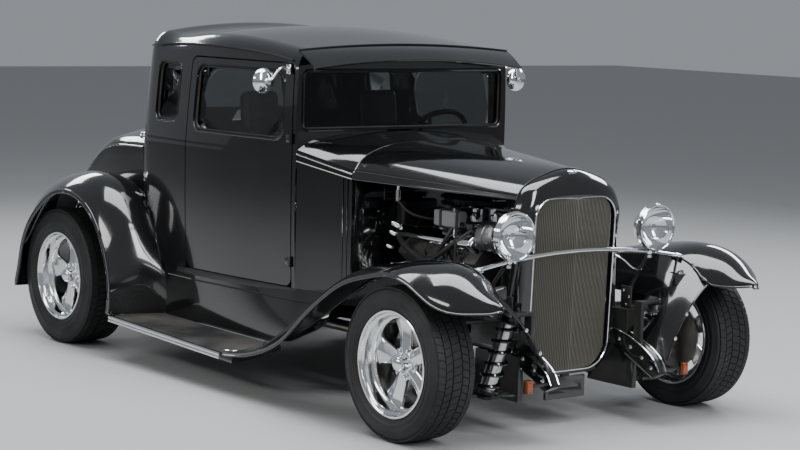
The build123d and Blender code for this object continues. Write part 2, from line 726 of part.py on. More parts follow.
# Engine: block, heads, intake, air cleaner, accessories at the front
ENGINE_FRONT = -185
ENGINE_REAR = -725
ENGINE_MID = (ENGINE_FRONT + ENGINE_REAR) / 2
HEAD_TILT = 42
with BuildPart() as engine:
    with Locations((ahead(ENGINE_MID), 0, 485)):
        Box(ENGINE_FRONT - ENGINE_REAR, 250, 300)
    with Locations((ahead(ENGINE_MID), 0, 300)):
        Box(ENGINE_FRONT - ENGINE_REAR - 60, 190, 110)
    for _, side in SIDES:
        with Locations(Location((ahead(ENGINE_MID), side * 165, 620), (side * HEAD_TILT, 0, 0))):
            Box(ENGINE_FRONT - ENGINE_REAR - 20, 170, 130)
        with Locations(Location((ahead(ENGINE_MID), side * 228, 692), (side * HEAD_TILT, 0, 0))):
            Box(ENGINE_FRONT - ENGINE_REAR - 50, 130, 80)
    with Locations((ahead(ENGINE_MID), 0, 700)):
        Box(400, 200, 130)
    with Locations((ahead(ENGINE_MID - 20), 0, 800)):
        Cylinder(60, 80)
    with Locations((ahead(ENGINE_MID - 20), 0, 860)):
        Cylinder(175, 62)
    with Locations((ahead(-381), -250, 790)):
        Box(140, 60, 80)
    with Locations((ahead(-150), -210, 745)):
        Cylinder(62, 120, rotation=(0, 90, 0))
    with Locations((ahead(-150), 0, 520)):
        Cylinder(70, 90, rotation=(0, 90, 0))
    with Locations((ahead(-150), 0, 400)):
        Cylinder(85, 90, rotation=(0, 90, 0))
    with Locations((ahead(-170), -120, 640)):
        Box(30, 220, 120)
write("engine", engine.part)

# Exhaust: manifolds, pipes and silencers, one run on each side
PIPE_Y = 235
PIPE_Z = 250
PIPE_R = 25
with BuildPart() as exhaust:
    for _, side in SIDES:
        for x in (-620, -510, -400, -290):
            add(tube([(ahead(x), side * 215, 575), (ahead(x - 10), side * 262, 540),
                      (ahead(x - 60), side * 255, 470)], 20))
        with Locations((ahead(-500), side * 252, 470)):
            Box(420, 46, 50)
        add(tube([(ahead(-690), side * 252, 470), (ahead(-760), side * PIPE_Y, 300),
                  (ahead(-900), side * PIPE_Y, PIPE_Z), (ahead(-2975), side * PIPE_Y, PIPE_Z)], PIPE_R))
        with BuildSketch(Plane.YZ.offset(ahead(-1890))):
            with Locations((side * PIPE_Y, PIPE_Z)):
                Ellipse(78, 48)
        extrude(amount=480)
    add(engine.part, mode=Mode.SUBTRACT)
write("exhaust", exhaust.part)

# Gearbox, propeller shaft and rear axle
AXLE_END = 650
with BuildPart() as drivetrain:
    with Locations((ahead(-790), 0, 345)):
        Box(130, 170, 150)
    with Locations((ahead(-1030), 0, 340)):
        Box(360, 150, 140)
    with Locations((ahead(-1280), 0, 336)):
        Cylinder(52, 160, rotation=(0, 90, 0))
    add(tube([(ahead(-1340), 0, 336), (REAR_AXLE_X + 60, 0, REAR_TYRE_R)], 34))
    with Locations((REAR_AXLE_X, 0, REAR_TYRE_R)):
        Sphere(96)
    with Locations((REAR_AXLE_X, 0, REAR_TYRE_R)):
        Cylinder(38, 2 * AXLE_END, rotation=(90, 0, 0))
        Cylinder(15, 2 * 724, rotation=(90, 0, 0))
    for _, side in SIDES:
        with Locations((REAR_AXLE_X, side * (AXLE_END - 5), REAR_TYRE_R)):
            Cylinder(80, 12, rotation=(90, 0, 0))
write("drivetrain", drivetrain.part)

# Suspension: front arms and coil-overs, rear links and coil-overs
BALL_Z = (170, 434)
ARM_T = 12
ARM_INNER_Y = 300
PIN_R = 9


def wishbone(height, side, spread):
    """Triangular arm from the rail to the ball joint."""
    with BuildPart(mode=Mode.PRIVATE) as arm:
        with BuildSketch(Plane.XY.offset(height - ARM_T / 2)):
            with BuildLine():
                Polyline((ahead(-spread), side * ARM_INNER_Y), (ahead(spread), side * ARM_INNER_Y),
                         (ahead(20), side * (KINGPIN_Y + 16)), (ahead(-20), side * (KINGPIN_Y + 16)), close=True)
            make_face()
            with BuildLine():
                Polyline((ahead(-spread + 40), side * (ARM_INNER_Y + 20)),
                         (ahead(spread - 40), side * (ARM_INNER_Y + 20)), (ahead(0), side * 500), close=True)
            make_face(mode=Mode.SUBTRACT)
        extrude(amount=ARM_T)
        with Locations((ahead(0), side * KINGPIN_Y, height)):
            Cylinder(PIN_R + 1, 3 * ARM_T, mode=Mode.SUBTRACT)
    return arm.part


with BuildPart() as suspension:
    for _, side in SIDES:
        add(wishbone(BALL_Z[1] + 12, side, 95))
        add(wishbone(BALL_Z[0] - 12, side, 150))
        with Locations((ahead(0), side * 318, 395)):
            Box(230, 50, 110)
        with Locations((ahead(22), side * 308, 220)):
            Box(265, 24, 180)
        add(tube([(ahead(118), side * 452, 172), (ahead(178), side * 392, 480)], 31))
        with Locations((ahead(118), side * 440, 158)):
            Box(50, 60, 12)
        with Locations((ahead(60), side * 410, 158)):
            Box(140, 60, 12)
        with Locations((ahead(182), side * 344, 486)):
            Box(40, 110, 14)
        with Locations((ahead(182), side * 296, 410)):
            Box(40, 16, 166)
        add(tube([(ahead(-1950), side * 380, 365), (REAR_AXLE_X, side * 470, 262)], 14))
        with Locations((REAR_AXLE_X, side * 470, 285)):
            Box(60, 24, 80)
        with Locations((REAR_AXLE_X - 66, side * 320, FLOOR_Z / 2 + 135)):
            Cylinder(26, FLOOR_Z - 270)
        with Locations((REAR_AXLE_X - 40, side * 320, 278)):
            Box(100, 60, 34)
    with Locations((REAR_AXLE_X, 0, REAR_TYRE_R)):
        Cylinder(38, 2 * AXLE_END, rotation=(90, 0, 0), mode=Mode.SUBTRACT)
    add(frame.part, mode=Mode.SUBTRACT)
    for _, side in SIDES:
        add(fender_of[side, "front"], mode=Mode.SUBTRACT)
write("suspension", suspension.part)

# Steering: rack housing on the frame, tie rods that slide, and a knuckle at each front wheel
RACK_X = -140
RACK_Z = 232
ROD_TRAVEL_GAP = 1
STEER_ARM = 118
with BuildPart() as steering_rack:
    with Locations((ahead(RACK_X), 0, RACK_Z)):
        Cylinder(28, 380, rotation=(90, 0, 0))
        Cylinder(8 + ROD_TRAVEL_GAP, 400, rotation=(90, 0, 0), mode=Mode.SUBTRACT)
    for _, side in SIDES:
        with Locations((ahead(RACK_X), side * 150, RACK_Z + 55)):
            Box(40, 24, 70)
        with Locations((ahead(-92.5), side * 150, RACK_Z + 83)):
            Box(135, 24, 20)
write("steering_rack", steering_rack.part)

with BuildPart() as tie_rods:
    with Locations((ahead(RACK_X), 0, RACK_Z)):
        Cylinder(8, 2 * 585, rotation=(90, 0, 0))
    for _, side in SIDES:
        with Locations((ahead(RACK_X), side * 592, RACK_Z)):
            Cylinder(16, 18)
write("tie_rods", tie_rods.part)

for name, side in SIDES:
    with BuildPart() as knuckle:
        with Locations((ahead(0), side * KINGPIN_Y, sum(BALL_Z) / 2)):
            Box(44, 26, BALL_Z[1] - BALL_Z[0] - 22)
            Cylinder(PIN_R, BALL_Z[1] - BALL_Z[0] + 36)
        with Locations((ahead(0), side * (KINGPIN_Y + 26), FRONT_TYRE_R)):
            Cylinder(34, 40, rotation=(90, 0, 0))
        with Locations((ahead(0), side * 696, FRONT_TYRE_R)):
            Cylinder(15, 100, rotation=(90, 0, 0))
        with BuildSketch(Plane.XY.offset(RACK_Z - 34)):
            with BuildLine():
                Polyline((ahead(-10), side * (KINGPIN_Y - 12)), (ahead(RACK_X - 16), side * 580),
                         (ahead(RACK_X - 16), side * 608), (ahead(-10), side * (KINGPIN_Y + 12)), close=True)
            make_face()
        extrude(amount=12)
    write(f"knuckle_{name}", knuckle.part)

# Wheels: barrel, five spokes and hub in one, and the tyre
SPOKES = 5
BARREL_T = 7


def rim(axle_x, radius, face_y, width, spoke_y, side):
    """One five-spoke wheel: barrel with stepped lips, spokes and a bored hub."""
    inner_y = face_y - width
    seat = RIM_R - 17
    with BuildPart(mode=Mode.PRIVATE) as wheel:
        with BuildSketch(Plane.XY):
            with BuildLine():
                profile = [(RIM_R, face_y), (RIM_R, face_y - 9), (seat, face_y - 18), (seat - 4, face_y - 44),
                           (seat - 17, face_y - 58), (seat - 17, inner_y + 30), (seat, inner_y + 14),
                           (RIM_R, inner_y + 6), (RIM_R, inner_y)]
                inner = [(r - BARREL_T, y) for r, y in reversed(profile)]
                inner[0], inner[-1] = (RIM_R - BARREL_T, inner_y), (RIM_R - BARREL_T, face_y)
                Polyline(*profile, *inner, close=True)
            make_face()
        revolve(axis=Axis.Y)
        with BuildSketch(Plane.XZ.offset(-spoke_y)):
            for angle in range(0, 360, 360 // SPOKES):
                with Locations(Rot(0, 0, angle + 100)):
                    Polygon((30, -30), (85, -33), (135, -43), (176, -62), (176, 62), (135, 43), (85, 33),
                            (30, 30), align=None)
            Circle(62)
        extrude(amount=28)
        with Locations((0, spoke_y - 35, 0)):
            Cylinder(58, 42, rotation=(90, 0, 0))
        with Locations((0, spoke_y + 12, 0)):
            Cylinder(33, 68, rotation=(90, 0, 0))
        with Locations((0, spoke_y - 40, 0)):
            Cylinder(16, 76, rotation=(90, 0, 0), mode=Mode.SUBTRACT)
    placed = wheel.part if side > 0 else mirror(wheel.part, about=Plane.XZ)
    return Pos(axle_x, 0, radius) * placed


def tyre(axle_x, radius, face_y, rim_w, section_w, side):
    """One tyre as a ring of flats, bulged past the rim on both sides."""
    middle = face_y - rim_w / 2
    half = section_w / 2
    with BuildPart(mode=Mode.PRIVATE) as ring:
        with BuildSketch(Plane.XY):
            with BuildLine():
                Polyline((RIM_R - 8, middle - rim_w / 2 + 12), (RIM_R + 46, middle - half),
                         (radius - 12, middle - half + 18), (radius, middle - half + 34),
                         (radius, middle + half - 34), (radius - 12, middle + half - 18),
                         (RIM_R + 46, middle + half), (RIM_R - 8, middle + rim_w / 2 - 12), close=True)
            make_face()
        revolve(axis=Axis.Y)
        with BuildPart(mode=Mode.PRIVATE) as barrel:
            with BuildSketch(Plane.XY):
                with BuildLine():
                    seat = RIM_R - 17
                    inner_y = face_y - rim_w
                    Polyline((0, inner_y - 20), (RIM_R, inner_y - 20), (RIM_R, inner_y + 6), (seat, inner_y + 14),
                             (seat, face_y - 18), (RIM_R, face_y - 9), (RIM_R, face_y + 20), (0, face_y + 20),
                             close=True)
                make_face()
            revolve(axis=Axis.Y)
        add(barrel.part, mode=Mode.SUBTRACT)
    placed = ring.part if side > 0 else mirror(ring.part, about=Plane.XZ)
    return Pos(axle_x, 0, radius) * placed


# columns: name, axle x, tyre radius, rim face y, rim width, tyre width, spoke face y
WHEELS = (
    ("front", ahead(0), FRONT_TYRE_R, FRONT_RIM_FACE_Y, 178, FRONT_TYRE_W, 762),
    ("rear", REAR_AXLE_X, REAR_TYRE_R, REAR_RIM_FACE_Y, 205, REAR_TYRE_W, 740),
)
for end, axle_x, radius, face_y, rim_w, tyre_w, spoke_y in WHEELS:
    for name, side in SIDES:
        write(f"{end}_rim_{name}", rim(axle_x, radius, face_y, rim_w, spoke_y, side))
        write(f"{end}_tyre_{name}", tyre(axle_x, radius, face_y, rim_w, tyre_w, side))

# Cabin: two bucket seats, dash, column and wheel
SEAT_Y = 335
with BuildPart() as seats:
    for _, side in SIDES:
        with Locations((ahead(-1390), side * SEAT_Y, 560)):
            Box(440, 400, 150)
        with Locations(Location((ahead(-1610), side * SEAT_Y, 800), (0, -10, 0))):
            Box(110, 400, 560)
        with Locations(Location((ahead(-1655), side * SEAT_Y, 1160), (0, -6, 0))):
            Box(80, 190, 190)
        with Locations((ahead(-1390), side * SEAT_Y, (SILL_Z + 488) / 2)):
            Box(380, 320, 488 - SILL_Z)
write("seats", seats.part)

WHEEL_CENTRE = (ahead(-1240), SEAT_Y, 1030)
COLUMN_FOOT = (ahead(-826), SEAT_Y, 740)
COLUMN_R = 20
with BuildPart() as dashboard:
    with Locations((ahead(SCREEN) - WALL - 24, 0, 955)):
        Box(48, 1000, 150)
    add(tube([COLUMN_FOOT, WHEEL_CENTRE], COLUMN_R + 1), mode=Mode.SUBTRACT)
write("dashboard", dashboard.part)

with BuildPart() as steering_wheel:
    add(tube([COLUMN_FOOT, WHEEL_CENTRE], COLUMN_R))
    with BuildSketch(Plane(origin=WHEEL_CENTRE, z_dir=Vector(*WHEEL_CENTRE) - Vector(*COLUMN_FOOT))):
        Circle(190)
        Circle(166, mode=Mode.SUBTRACT)
        for angle in (90, 210, 330):
            with Locations(Rot(0, 0, angle)):
                with Locations((88, 0)):
                    Rectangle(176, 30)
        Circle(44)
    extrude(amount=24)
write("steering_wheel", steering_wheel.part)

# Door mirrors, on arms at the upper hinges
MIRROR_ROOT = (ahead(-1072), 582, 1378)
MIRROR_HEAD = (ahead(-1092), 700, 1329)
for name, side in SIDES:
    root = (MIRROR_ROOT[0], side * MIRROR_ROOT[1], MIRROR_ROOT[2])
    head = (MIRROR_HEAD[0], side * MIRROR_HEAD[1], MIRROR_HEAD[2])
    with BuildPart() as door_mirror:
        add(tube([root, (root[0] + 26, side * 650, 1386), (head[0] + 30, side * 668, 1330), head], 6))
        with Locations(root):
            Box(30, 30, 40)
        with Locations(head):
            Cylinder(54, 16, rotation=(0, 90, 0))
        with Locations((head[0] + 12, head[1], head[2])):
            Cylinder(34, 18, rotation=(0, 90, 0))
        add(CAB_SOLID, mode=Mode.SUBTRACT)
    write(f"mirror_{name}", door_mirror.part)

# Fuel tank behind the rear axle
with BuildPart() as fuel_tank:
    with Locations((ahead(-2840), 0, FLOOR_Z - 65)):
        Box(150, 340, 130)
    fillet(fuel_tank.edges().filter_by(Axis.Y), 30)
write("fuel_tank", fuel_tank.part)
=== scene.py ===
"""Hot rod coupe: the looks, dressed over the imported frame.

Lengths in the tables are millimetres: stations count forward from the front axle, y goes to the car's
left and z up from the ground. Meshes are in metres, in the frame's own axes.
"""
import logging
import math
from dataclasses import dataclass
from enum import Enum
from typing import Callable, Iterable, Sequence

import bpy
import numpy as np
from mathutils import Matrix, Vector
from mathutils.bvhtree import BVHTree
from mathutils.interpolate import poly_3d_calc

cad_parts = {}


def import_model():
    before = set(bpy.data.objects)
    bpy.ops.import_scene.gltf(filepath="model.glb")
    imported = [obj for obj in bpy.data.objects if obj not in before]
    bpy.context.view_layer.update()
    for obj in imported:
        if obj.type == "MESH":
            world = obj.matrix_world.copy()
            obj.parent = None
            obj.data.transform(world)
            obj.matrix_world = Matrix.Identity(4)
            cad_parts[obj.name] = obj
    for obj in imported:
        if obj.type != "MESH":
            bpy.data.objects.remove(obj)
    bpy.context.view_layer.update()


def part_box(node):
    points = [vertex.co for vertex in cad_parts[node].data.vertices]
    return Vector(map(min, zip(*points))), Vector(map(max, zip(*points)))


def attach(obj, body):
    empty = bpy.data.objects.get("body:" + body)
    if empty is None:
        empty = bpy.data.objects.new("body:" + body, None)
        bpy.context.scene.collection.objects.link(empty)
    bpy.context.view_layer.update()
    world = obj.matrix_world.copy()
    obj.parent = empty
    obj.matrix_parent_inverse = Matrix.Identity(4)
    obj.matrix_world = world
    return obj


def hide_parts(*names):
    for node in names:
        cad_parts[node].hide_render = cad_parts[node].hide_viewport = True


LOG = logging.getLogger("hot_rod")
MM = 0.001
Point2 = tuple[float, float]
Point3 = tuple[float, float, float]
Piece = bpy.types.Object


class Effect(Enum):
    """Shader node groups that several finishes share."""

    GLOSS = "uneven_gloss"
    RELIEF = "surface_relief"
    DUST = "settled_dust"
    BRUSH = "brushed_lines"


@dataclass(frozen=True)
class Recipe:
    """One finish: the numbers of a Principled shader and of the effects that feed it."""

    slot: str
    color: Point3
    roughness: Point2 = (0.3, 0.4)
    metallic: float = 0.0
    coat: float = 0.0
    coat_roughness: float = 0.03
    transmission: float = 0.0
    ior: float = 1.5
    patch: float = 3.0
    dust: float = 0.0
    dust_color: Point3 = (0.22, 0.2, 0.17)
    relief_scale: float = 400.0
    relief: float = 0.0
    brush: float = 0.0


class Finish(Enum):
    """The finishes on the car."""

    GLOSS_BLACK = Recipe("gloss_black", (0.0035, 0.0036, 0.0042), (0.10, 0.16), coat=1.0, coat_roughness=0.02,
                         dust=0.05, relief=0.015, relief_scale=260.0, patch=1.6)
    SATIN_BLACK = Recipe("chassis_black", (0.012, 0.012, 0.0125), (0.32, 0.5), coat=0.3, coat_roughness=0.25,
                         dust=0.3, relief=0.08, relief_scale=300.0)
    CHROME = Recipe("chrome", (0.86, 0.87, 0.88), (0.03, 0.09), metallic=1.0, patch=5.0, dust=0.02)
    POLISHED = Recipe("polished_alloy", (0.83, 0.84, 0.85), (0.06, 0.2), metallic=1.0, patch=9.0, dust=0.04,
                      brush=0.05)
    RUBBER = Recipe("tyre", (0.0085, 0.0085, 0.009), (0.55, 0.78), dust=0.16, dust_color=(0.11, 0.11, 0.11),
                    relief=0.2, relief_scale=700.0, patch=7.0)
    MAT = Recipe("dark_plastic", (0.012, 0.012, 0.012), (0.5, 0.75), dust=0.4, relief=0.3, relief_scale=900.0)
    DARK_GLASS = Recipe("dark_glass", (0.42, 0.44, 0.44), (0.0, 0.03), transmission=1.0, ior=1.45, patch=2.0)
    CLEAR_GLASS = Recipe("clear_glass", (0.97, 0.985, 1.0), (0.0, 0.03), transmission=1.0, ior=1.45)
    REFLECTOR = Recipe("chrome", (0.9, 0.9, 0.9), (0.03, 0.12), metallic=1.0, relief=0.2, relief_scale=60.0)
    AMBER = Recipe("amber", (0.30, 0.055, 0.006), (0.12, 0.25), coat=0.6, relief=0.3, relief_scale=500.0)
    # chrome of the grille bars, dulled and darkened in colour: painted shade standing in for the dark
    # reflection of their surroundings
    GRILLE_BARS = Recipe("chrome", (0.27, 0.26, 0.22), (0.34, 0.48), metallic=0.6, dust=0.1)
    RED = Recipe("red", (0.42, 0.006, 0.006), (0.1, 0.22), coat=0.6, relief=0.3, relief_scale=500.0)
    CAST_ALLOY = Recipe("engine_metal", (0.30, 0.30, 0.31), (0.35, 0.6), metallic=1.0, relief=0.35,
                        relief_scale=420.0, dust=0.25)
    CAST_IRON = Recipe("engine_metal", (0.035, 0.034, 0.034), (0.45, 0.7), relief=0.4, relief_scale=380.0,
                       dust=0.3)
    STEEL = Recipe("steel", (0.42, 0.40, 0.37), (0.25, 0.5), metallic=1.0, dust=0.35, relief=0.1, brush=0.15)
    HOSE = Recipe("dark_plastic", (0.01, 0.01, 0.01), (0.35, 0.55), dust=0.2, relief=0.1)
    LEATHER = Recipe("seat_leather", (0.022, 0.019, 0.017), (0.38, 0.6), relief=0.35, relief_scale=330.0,
                     coat=0.15, coat_roughness=0.4)
    TRIM_PLASTIC = Recipe("dark_plastic", (0.014, 0.014, 0.015), (0.4, 0.6), relief=0.2, relief_scale=600.0)
    GREY_PLASTIC = Recipe("dark_plastic", (0.26, 0.27, 0.27), (0.35, 0.5), relief=0.1, dust=0.2)
    # grey steel for the dampers, darker than their chrome: painted shade, as the near damper stands in shadow
    DAMPER = Recipe("steel", (0.55, 0.55, 0.54), (0.16, 0.3), metallic=1.0, dust=0.15)


class NodeGroups:
    """Builds each shared shader effect once."""

    def __init__(self) -> None:
        """Start with no group built."""
        self._built: dict[Effect, bpy.types.NodeTree] = {}
        self._makers: dict[Effect, Callable[[bpy.types.NodeTree], None]] = {
            Effect.GLOSS: self._gloss, Effect.RELIEF: self._relief,
            Effect.DUST: self._dust, Effect.BRUSH: self._brush}

    def get(self, effect: Effect) -> bpy.types.NodeTree:
        """Give an effect's node group, built the first time it is asked for.

        Args:
            effect: the effect wanted.

        Returns:
            Its node group.
        """
        if effect not in self._built:
            tree = bpy.data.node_groups.new(effect.value, "ShaderNodeTree")
            self._makers[effect](tree)
            self._built[effect] = tree
        return self._built[effect]

    @staticmethod
    def _socket(tree: bpy.types.NodeTree, name: str, kind: str, way: str, value: object = None) -> None:
        """Add one named socket to a group."""
        socket = tree.interface.new_socket(name, in_out=way, socket_type=kind)
        if value is not None:
            socket.default_value = value

    @staticmethod
    def _noise(tree: bpy.types.NodeTree, detail: float) -> bpy.types.Node:
        """Add a noise texture that reads the piece's own coordinates."""
        where = tree.nodes.new("ShaderNodeTexCoord")
        noise = tree.nodes.new("ShaderNodeTexNoise")
        noise.inputs["Detail"].default_value = detail
        tree.links.new(where.outputs["Object"], noise.inputs["Vector"])
        return noise

    @staticmethod
    def _spread(tree: bpy.types.NodeTree, low: float, high: float, start: float = 0.0) -> bpy.types.Node:
        """Add a node that spreads values from low to high over start to one."""
        node = tree.nodes.new("ShaderNodeMapRange")
        for socket, value in (("From Min", low), ("From Max", high), ("To Min", start), ("To Max", 1.0)):
            node.inputs[socket].default_value = value
        return node

    def _gloss(self, tree: bpy.types.NodeTree) -> None:
        """Roughness that wanders between two values in soft patches."""
        self._socket(tree, "Patch", "NodeSocketFloat", "INPUT", 3.0)
        self._socket(tree, "Low", "NodeSocketFloat", "INPUT", 0.2)
        self._socket(tree, "High", "NodeSocketFloat", "INPUT", 0.4)
        self._socket(tree, "Roughness", "NodeSocketFloat", "OUTPUT")
        inlet, outlet = tree.nodes.new("NodeGroupInput"), tree.nodes.new("NodeGroupOutput")
        noise = self._noise(tree, 6.0)
        spread = self._spread(tree, 0.35, 0.7)
        tree.links.new(inlet.outputs["Patch"], noise.inputs["Scale"])
        tree.links.new(noise.outputs["Fac"], spread.inputs["Value"])
        tree.links.new(inlet.outputs["Low"], spread.inputs["To Min"])
        tree.links.new(inlet.outputs["High"], spread.inputs["To Max"])
        tree.links.new(spread.outputs["Result"], outlet.inputs["Roughness"])

    def _relief(self, tree: bpy.types.NodeTree) -> None:
        """Fine bumps of the surface, as a normal."""
        self._socket(tree, "Scale", "NodeSocketFloat", "INPUT", 400.0)
        self._socket(tree, "Strength", "NodeSocketFloat", "INPUT", 0.1)
        self._socket(tree, "Normal", "NodeSocketVector", "OUTPUT")
        inlet, outlet = tree.nodes.new("NodeGroupInput"), tree.nodes.new("NodeGroupOutput")
        noise = self._noise(tree, 3.0)
        bump = tree.nodes.new("ShaderNodeBump")
        bump.inputs["Distance"].default_value = 0.0006
        tree.links.new(inlet.outputs["Scale"], noise.inputs["Scale"])
        tree.links.new(inlet.outputs["Strength"], bump.inputs["Strength"])
        tree.links.new(noise.outputs["Fac"], bump.inputs["Height"])
        tree.links.new(bump.outputs["Normal"], outlet.inputs["Normal"])

    def _dust(self, tree: bpy.types.NodeTree) -> None:
        """Road dust that settles low on the car and in soft clouds."""
        self._socket(tree, "Color", "NodeSocketColor", "INPUT", (0.1, 0.1, 0.1, 1.0))
        self._socket(tree, "Dust", "NodeSocketColor", "INPUT", (0.2, 0.2, 0.2, 1.0))
        self._socket(tree, "Amount", "NodeSocketFloat", "INPUT", 0.1)
        self._socket(tree, "Result", "NodeSocketColor", "OUTPUT")
        inlet, outlet = tree.nodes.new("NodeGroupInput"), tree.nodes.new("NodeGroupOutput")
        noise = self._noise(tree, 8.0)
        noise.inputs["Scale"].default_value = 5.0
        where = tree.nodes.new("ShaderNodeTexCoord")
        apart = tree.nodes.new("ShaderNodeSeparateXYZ")
        low, cloud = self._spread(tree, 0.75, 0.05, 0.25), self._spread(tree, 0.4, 0.75)
        times, amount = tree.nodes.new("ShaderNodeMath"), tree.nodes.new("ShaderNodeMath")
        times.operation = amount.operation = "MULTIPLY"
        mix = tree.nodes.new("ShaderNodeMix")
        mix.data_type = "RGBA"
        links = tree.links
        links.new(where.outputs["Object"], apart.inputs["Vector"])
        links.new(apart.outputs["Z"], low.inputs["Value"])
        links.new(noise.outputs["Fac"], cloud.inputs["Value"])
        links.new(cloud.outputs["Result"], times.inputs[0])
        links.new(low.outputs["Result"], times.inputs[1])
        links.new(times.outputs["Value"], amount.inputs[0])
        links.new(inlet.outputs["Amount"], amount.inputs[1])
        links.new(amount.outputs["Value"], mix.inputs["Factor"])
        links.new(inlet.outputs["Color"], mix.inputs["A"])
        links.new(inlet.outputs["Dust"], mix.inputs["B"])
        links.new(mix.outputs["Result"], outlet.inputs["Result"])

    def _brush(self, tree: bpy.types.NodeTree) -> None:
        """Fine polishing lines around a wheel or along a bar, as a height."""
        self._socket(tree, "Height", "NodeSocketFloat", "OUTPUT")
        outlet = tree.nodes.new("NodeGroupOutput")
        noise = self._noise(tree, 2.0)
        noise.inputs["Scale"].default_value = 160.0
        noise.inputs["Distortion"].default_value = 2.0
        tree.links.new(noise.outputs["Fac"], outlet.inputs["Height"])


class PaintShop:
    """Makes each finish's material once and puts it on pieces."""

    def __init__(self) -> None:
        """Start with the node groups and no material."""
        self._groups = NodeGroups()
        self._made: dict[Finish, bpy.types.Material] = {}

    def material(self, finish: Finish) -> bpy.types.Material:
        """Give a finish's material, made the first time it is asked for.

        Args:
            finish: the finish wanted.

        Returns:
            Its material.
        """
        if finish not in self._made:
            self._made[finish] = self._make(finish)
        return self._made[finish]

    def _group(self, nodes: bpy.types.Nodes, effect: Effect) -> bpy.types.Node:
        """Put an effect's group in a material."""
        node = nodes.new("ShaderNodeGroup")
        node.node_tree = self._groups.get(effect)
        return node

    def _make(self, finish: Finish) -> bpy.types.Material:
        """Build one material from its recipe."""
        recipe = finish.value
        material = bpy.data.materials.new(finish.name.lower())
        material.use_nodes = True
        nodes, links = material.node_tree.nodes, material.node_tree.links
        shader = nodes["Principled BSDF"]
        shader.inputs["Metallic"].default_value = recipe.metallic
        shader.inputs["IOR"].default_value = recipe.ior
        shader.inputs["Coat Weight"].default_value = recipe.coat
        shader.inputs["Coat Roughness"].default_value = recipe.coat_roughness
        shader.inputs["Transmission Weight"].default_value = recipe.transmission
        gloss = self._group(nodes, Effect.GLOSS)
        gloss.inputs["Patch"].default_value = recipe.patch
        gloss.inputs["Low"].default_value = recipe.roughness[0]
        gloss.inputs["High"].default_value = recipe.roughness[1]
        links.new(gloss.outputs["Roughness"], shader.inputs["Roughness"])
        shader.inputs["Base Color"].default_value = (*recipe.color, 1.0)
        if recipe.dust > 0:
            dust = self._group(nodes, Effect.DUST)
            dust.inputs["Color"].default_value = (*recipe.color, 1.0)
            dust.inputs["Dust"].default_value = (*recipe.dust_color, 1.0)
            dust.inputs["Amount"].default_value = recipe.dust
            links.new(dust.outputs["Result"], shader.inputs["Base Color"])
        if recipe.brush > 0:
            brush = self._group(nodes, Effect.BRUSH)
            bump = nodes.new("ShaderNodeBump")
            bump.inputs["Strength"].default_value = recipe.brush
            bump.inputs["Distance"].default_value = 0.0004
            links.new(brush.outputs["Height"], bump.inputs["Height"])
            links.new(bump.outputs["Normal"], shader.inputs["Normal"])
        elif recipe.relief > 0:
            relief = self._group(nodes, Effect.RELIEF)
            relief.inputs["Scale"].default_value = recipe.relief_scale
            relief.inputs["Strength"].default_value = recipe.relief
            links.new(relief.outputs["Normal"], shader.inputs["Normal"])
        return material

    def coat(self, piece: Piece, finish: Finish) -> None:
        """Give a piece one finish all over."""
        piece.data.materials.clear()
        piece.data.materials.append(self.material(finish))


def spline(knots: np.ndarray, values: np.ndarray, at: np.ndarray) -> np.ndarray:
    """Read a natural cubic spline.

    Args:
        knots: rising parameter of each value.
        values: one row of numbers for each knot.
        at: the parameters to read.

    Returns:
        One row of numbers for each parameter.
    """
    count = len(knots)
    step = np.diff(knots)
    matrix = np.eye(count)
    right = np.zeros((count, values.shape[1]))
    for i in range(1, count - 1):
        matrix[i, i - 1:i + 2] = step[i - 1], 2 * (step[i - 1] + step[i]), step[i]
        right[i] = 6 * ((values[i + 1] - values[i]) / step[i] - (values[i] - values[i - 1]) / step[i - 1])
    bend = np.linalg.solve(matrix, right)
    cell = np.clip(np.searchsorted(knots, at, side="right") - 1, 0, count - 2)
    width = step[cell][:, None]
    low = (knots[cell + 1] - at)[:, None] / width
    high = (at - knots[cell])[:, None] / width
    return (low * values[cell] + high * values[cell + 1]
            + ((low ** 3 - low) * bend[cell] + (high ** 3 - high) * bend[cell + 1]) * width ** 2 / 6)


def smooth_path(points: Sequence[Sequence[float]], count: int) -> np.ndarray:
    """Draw a smooth line through points, evenly divided by length.

    Args:
        points: the points that it passes.
        count: how many points it is given back as.

    Returns:
        The line's points.
    """
    rows = np.array(points, float)
    knots = np.concatenate([[0], np.cumsum(np.linalg.norm(np.diff(rows, axis=0), axis=1))])
    return spline(knots, rows, np.linspace(0, knots[-1], count))


def arc(start: Point2, middle: Point2, end: Point2, count: int) -> list[Point2]:
    """Divide the circular arc through three points.

    Args:
        start: its first point.
        middle: a point on the way.
        end: its last point.
        count: how many points it is given back as.

    Returns:
        The arc's points.
    """
    (x1, y1), (x2, y2), (x3, y3) = start, middle, end
    twist = 2 * (x1 * (y2 - y3) + x2 * (y3 - y1) + x3 * (y1 - y2))
    if abs(twist) < 1e-6:
        return [(x1 + (x3 - x1) * t, y1 + (y3 - y1) * t) for t in np.linspace(0, 1, count)]
    s1, s2, s3 = x1 * x1 + y1 * y1, x2 * x2 + y2 * y2, x3 * x3 + y3 * y3
    cx = (s1 * (y2 - y3) + s2 * (y3 - y1) + s3 * (y1 - y2)) / twist
    cy = (s1 * (x3 - x2) + s2 * (x1 - x3) + s3 * (x2 - x1)) / twist
    radius = math.hypot(x1 - cx, y1 - cy)
    first = math.atan2(y1 - cy, x1 - cx)
    last = math.atan2(y3 - cy, x3 - cx)
    if twist > 0 and last < first:
        last += 2 * math.pi
    if twist < 0 and last > first:
        last -= 2 * math.pi
    return [(cx + radius * math.cos(a), cy + radius * math.sin(a)) for a in np.linspace(first, last, count)]


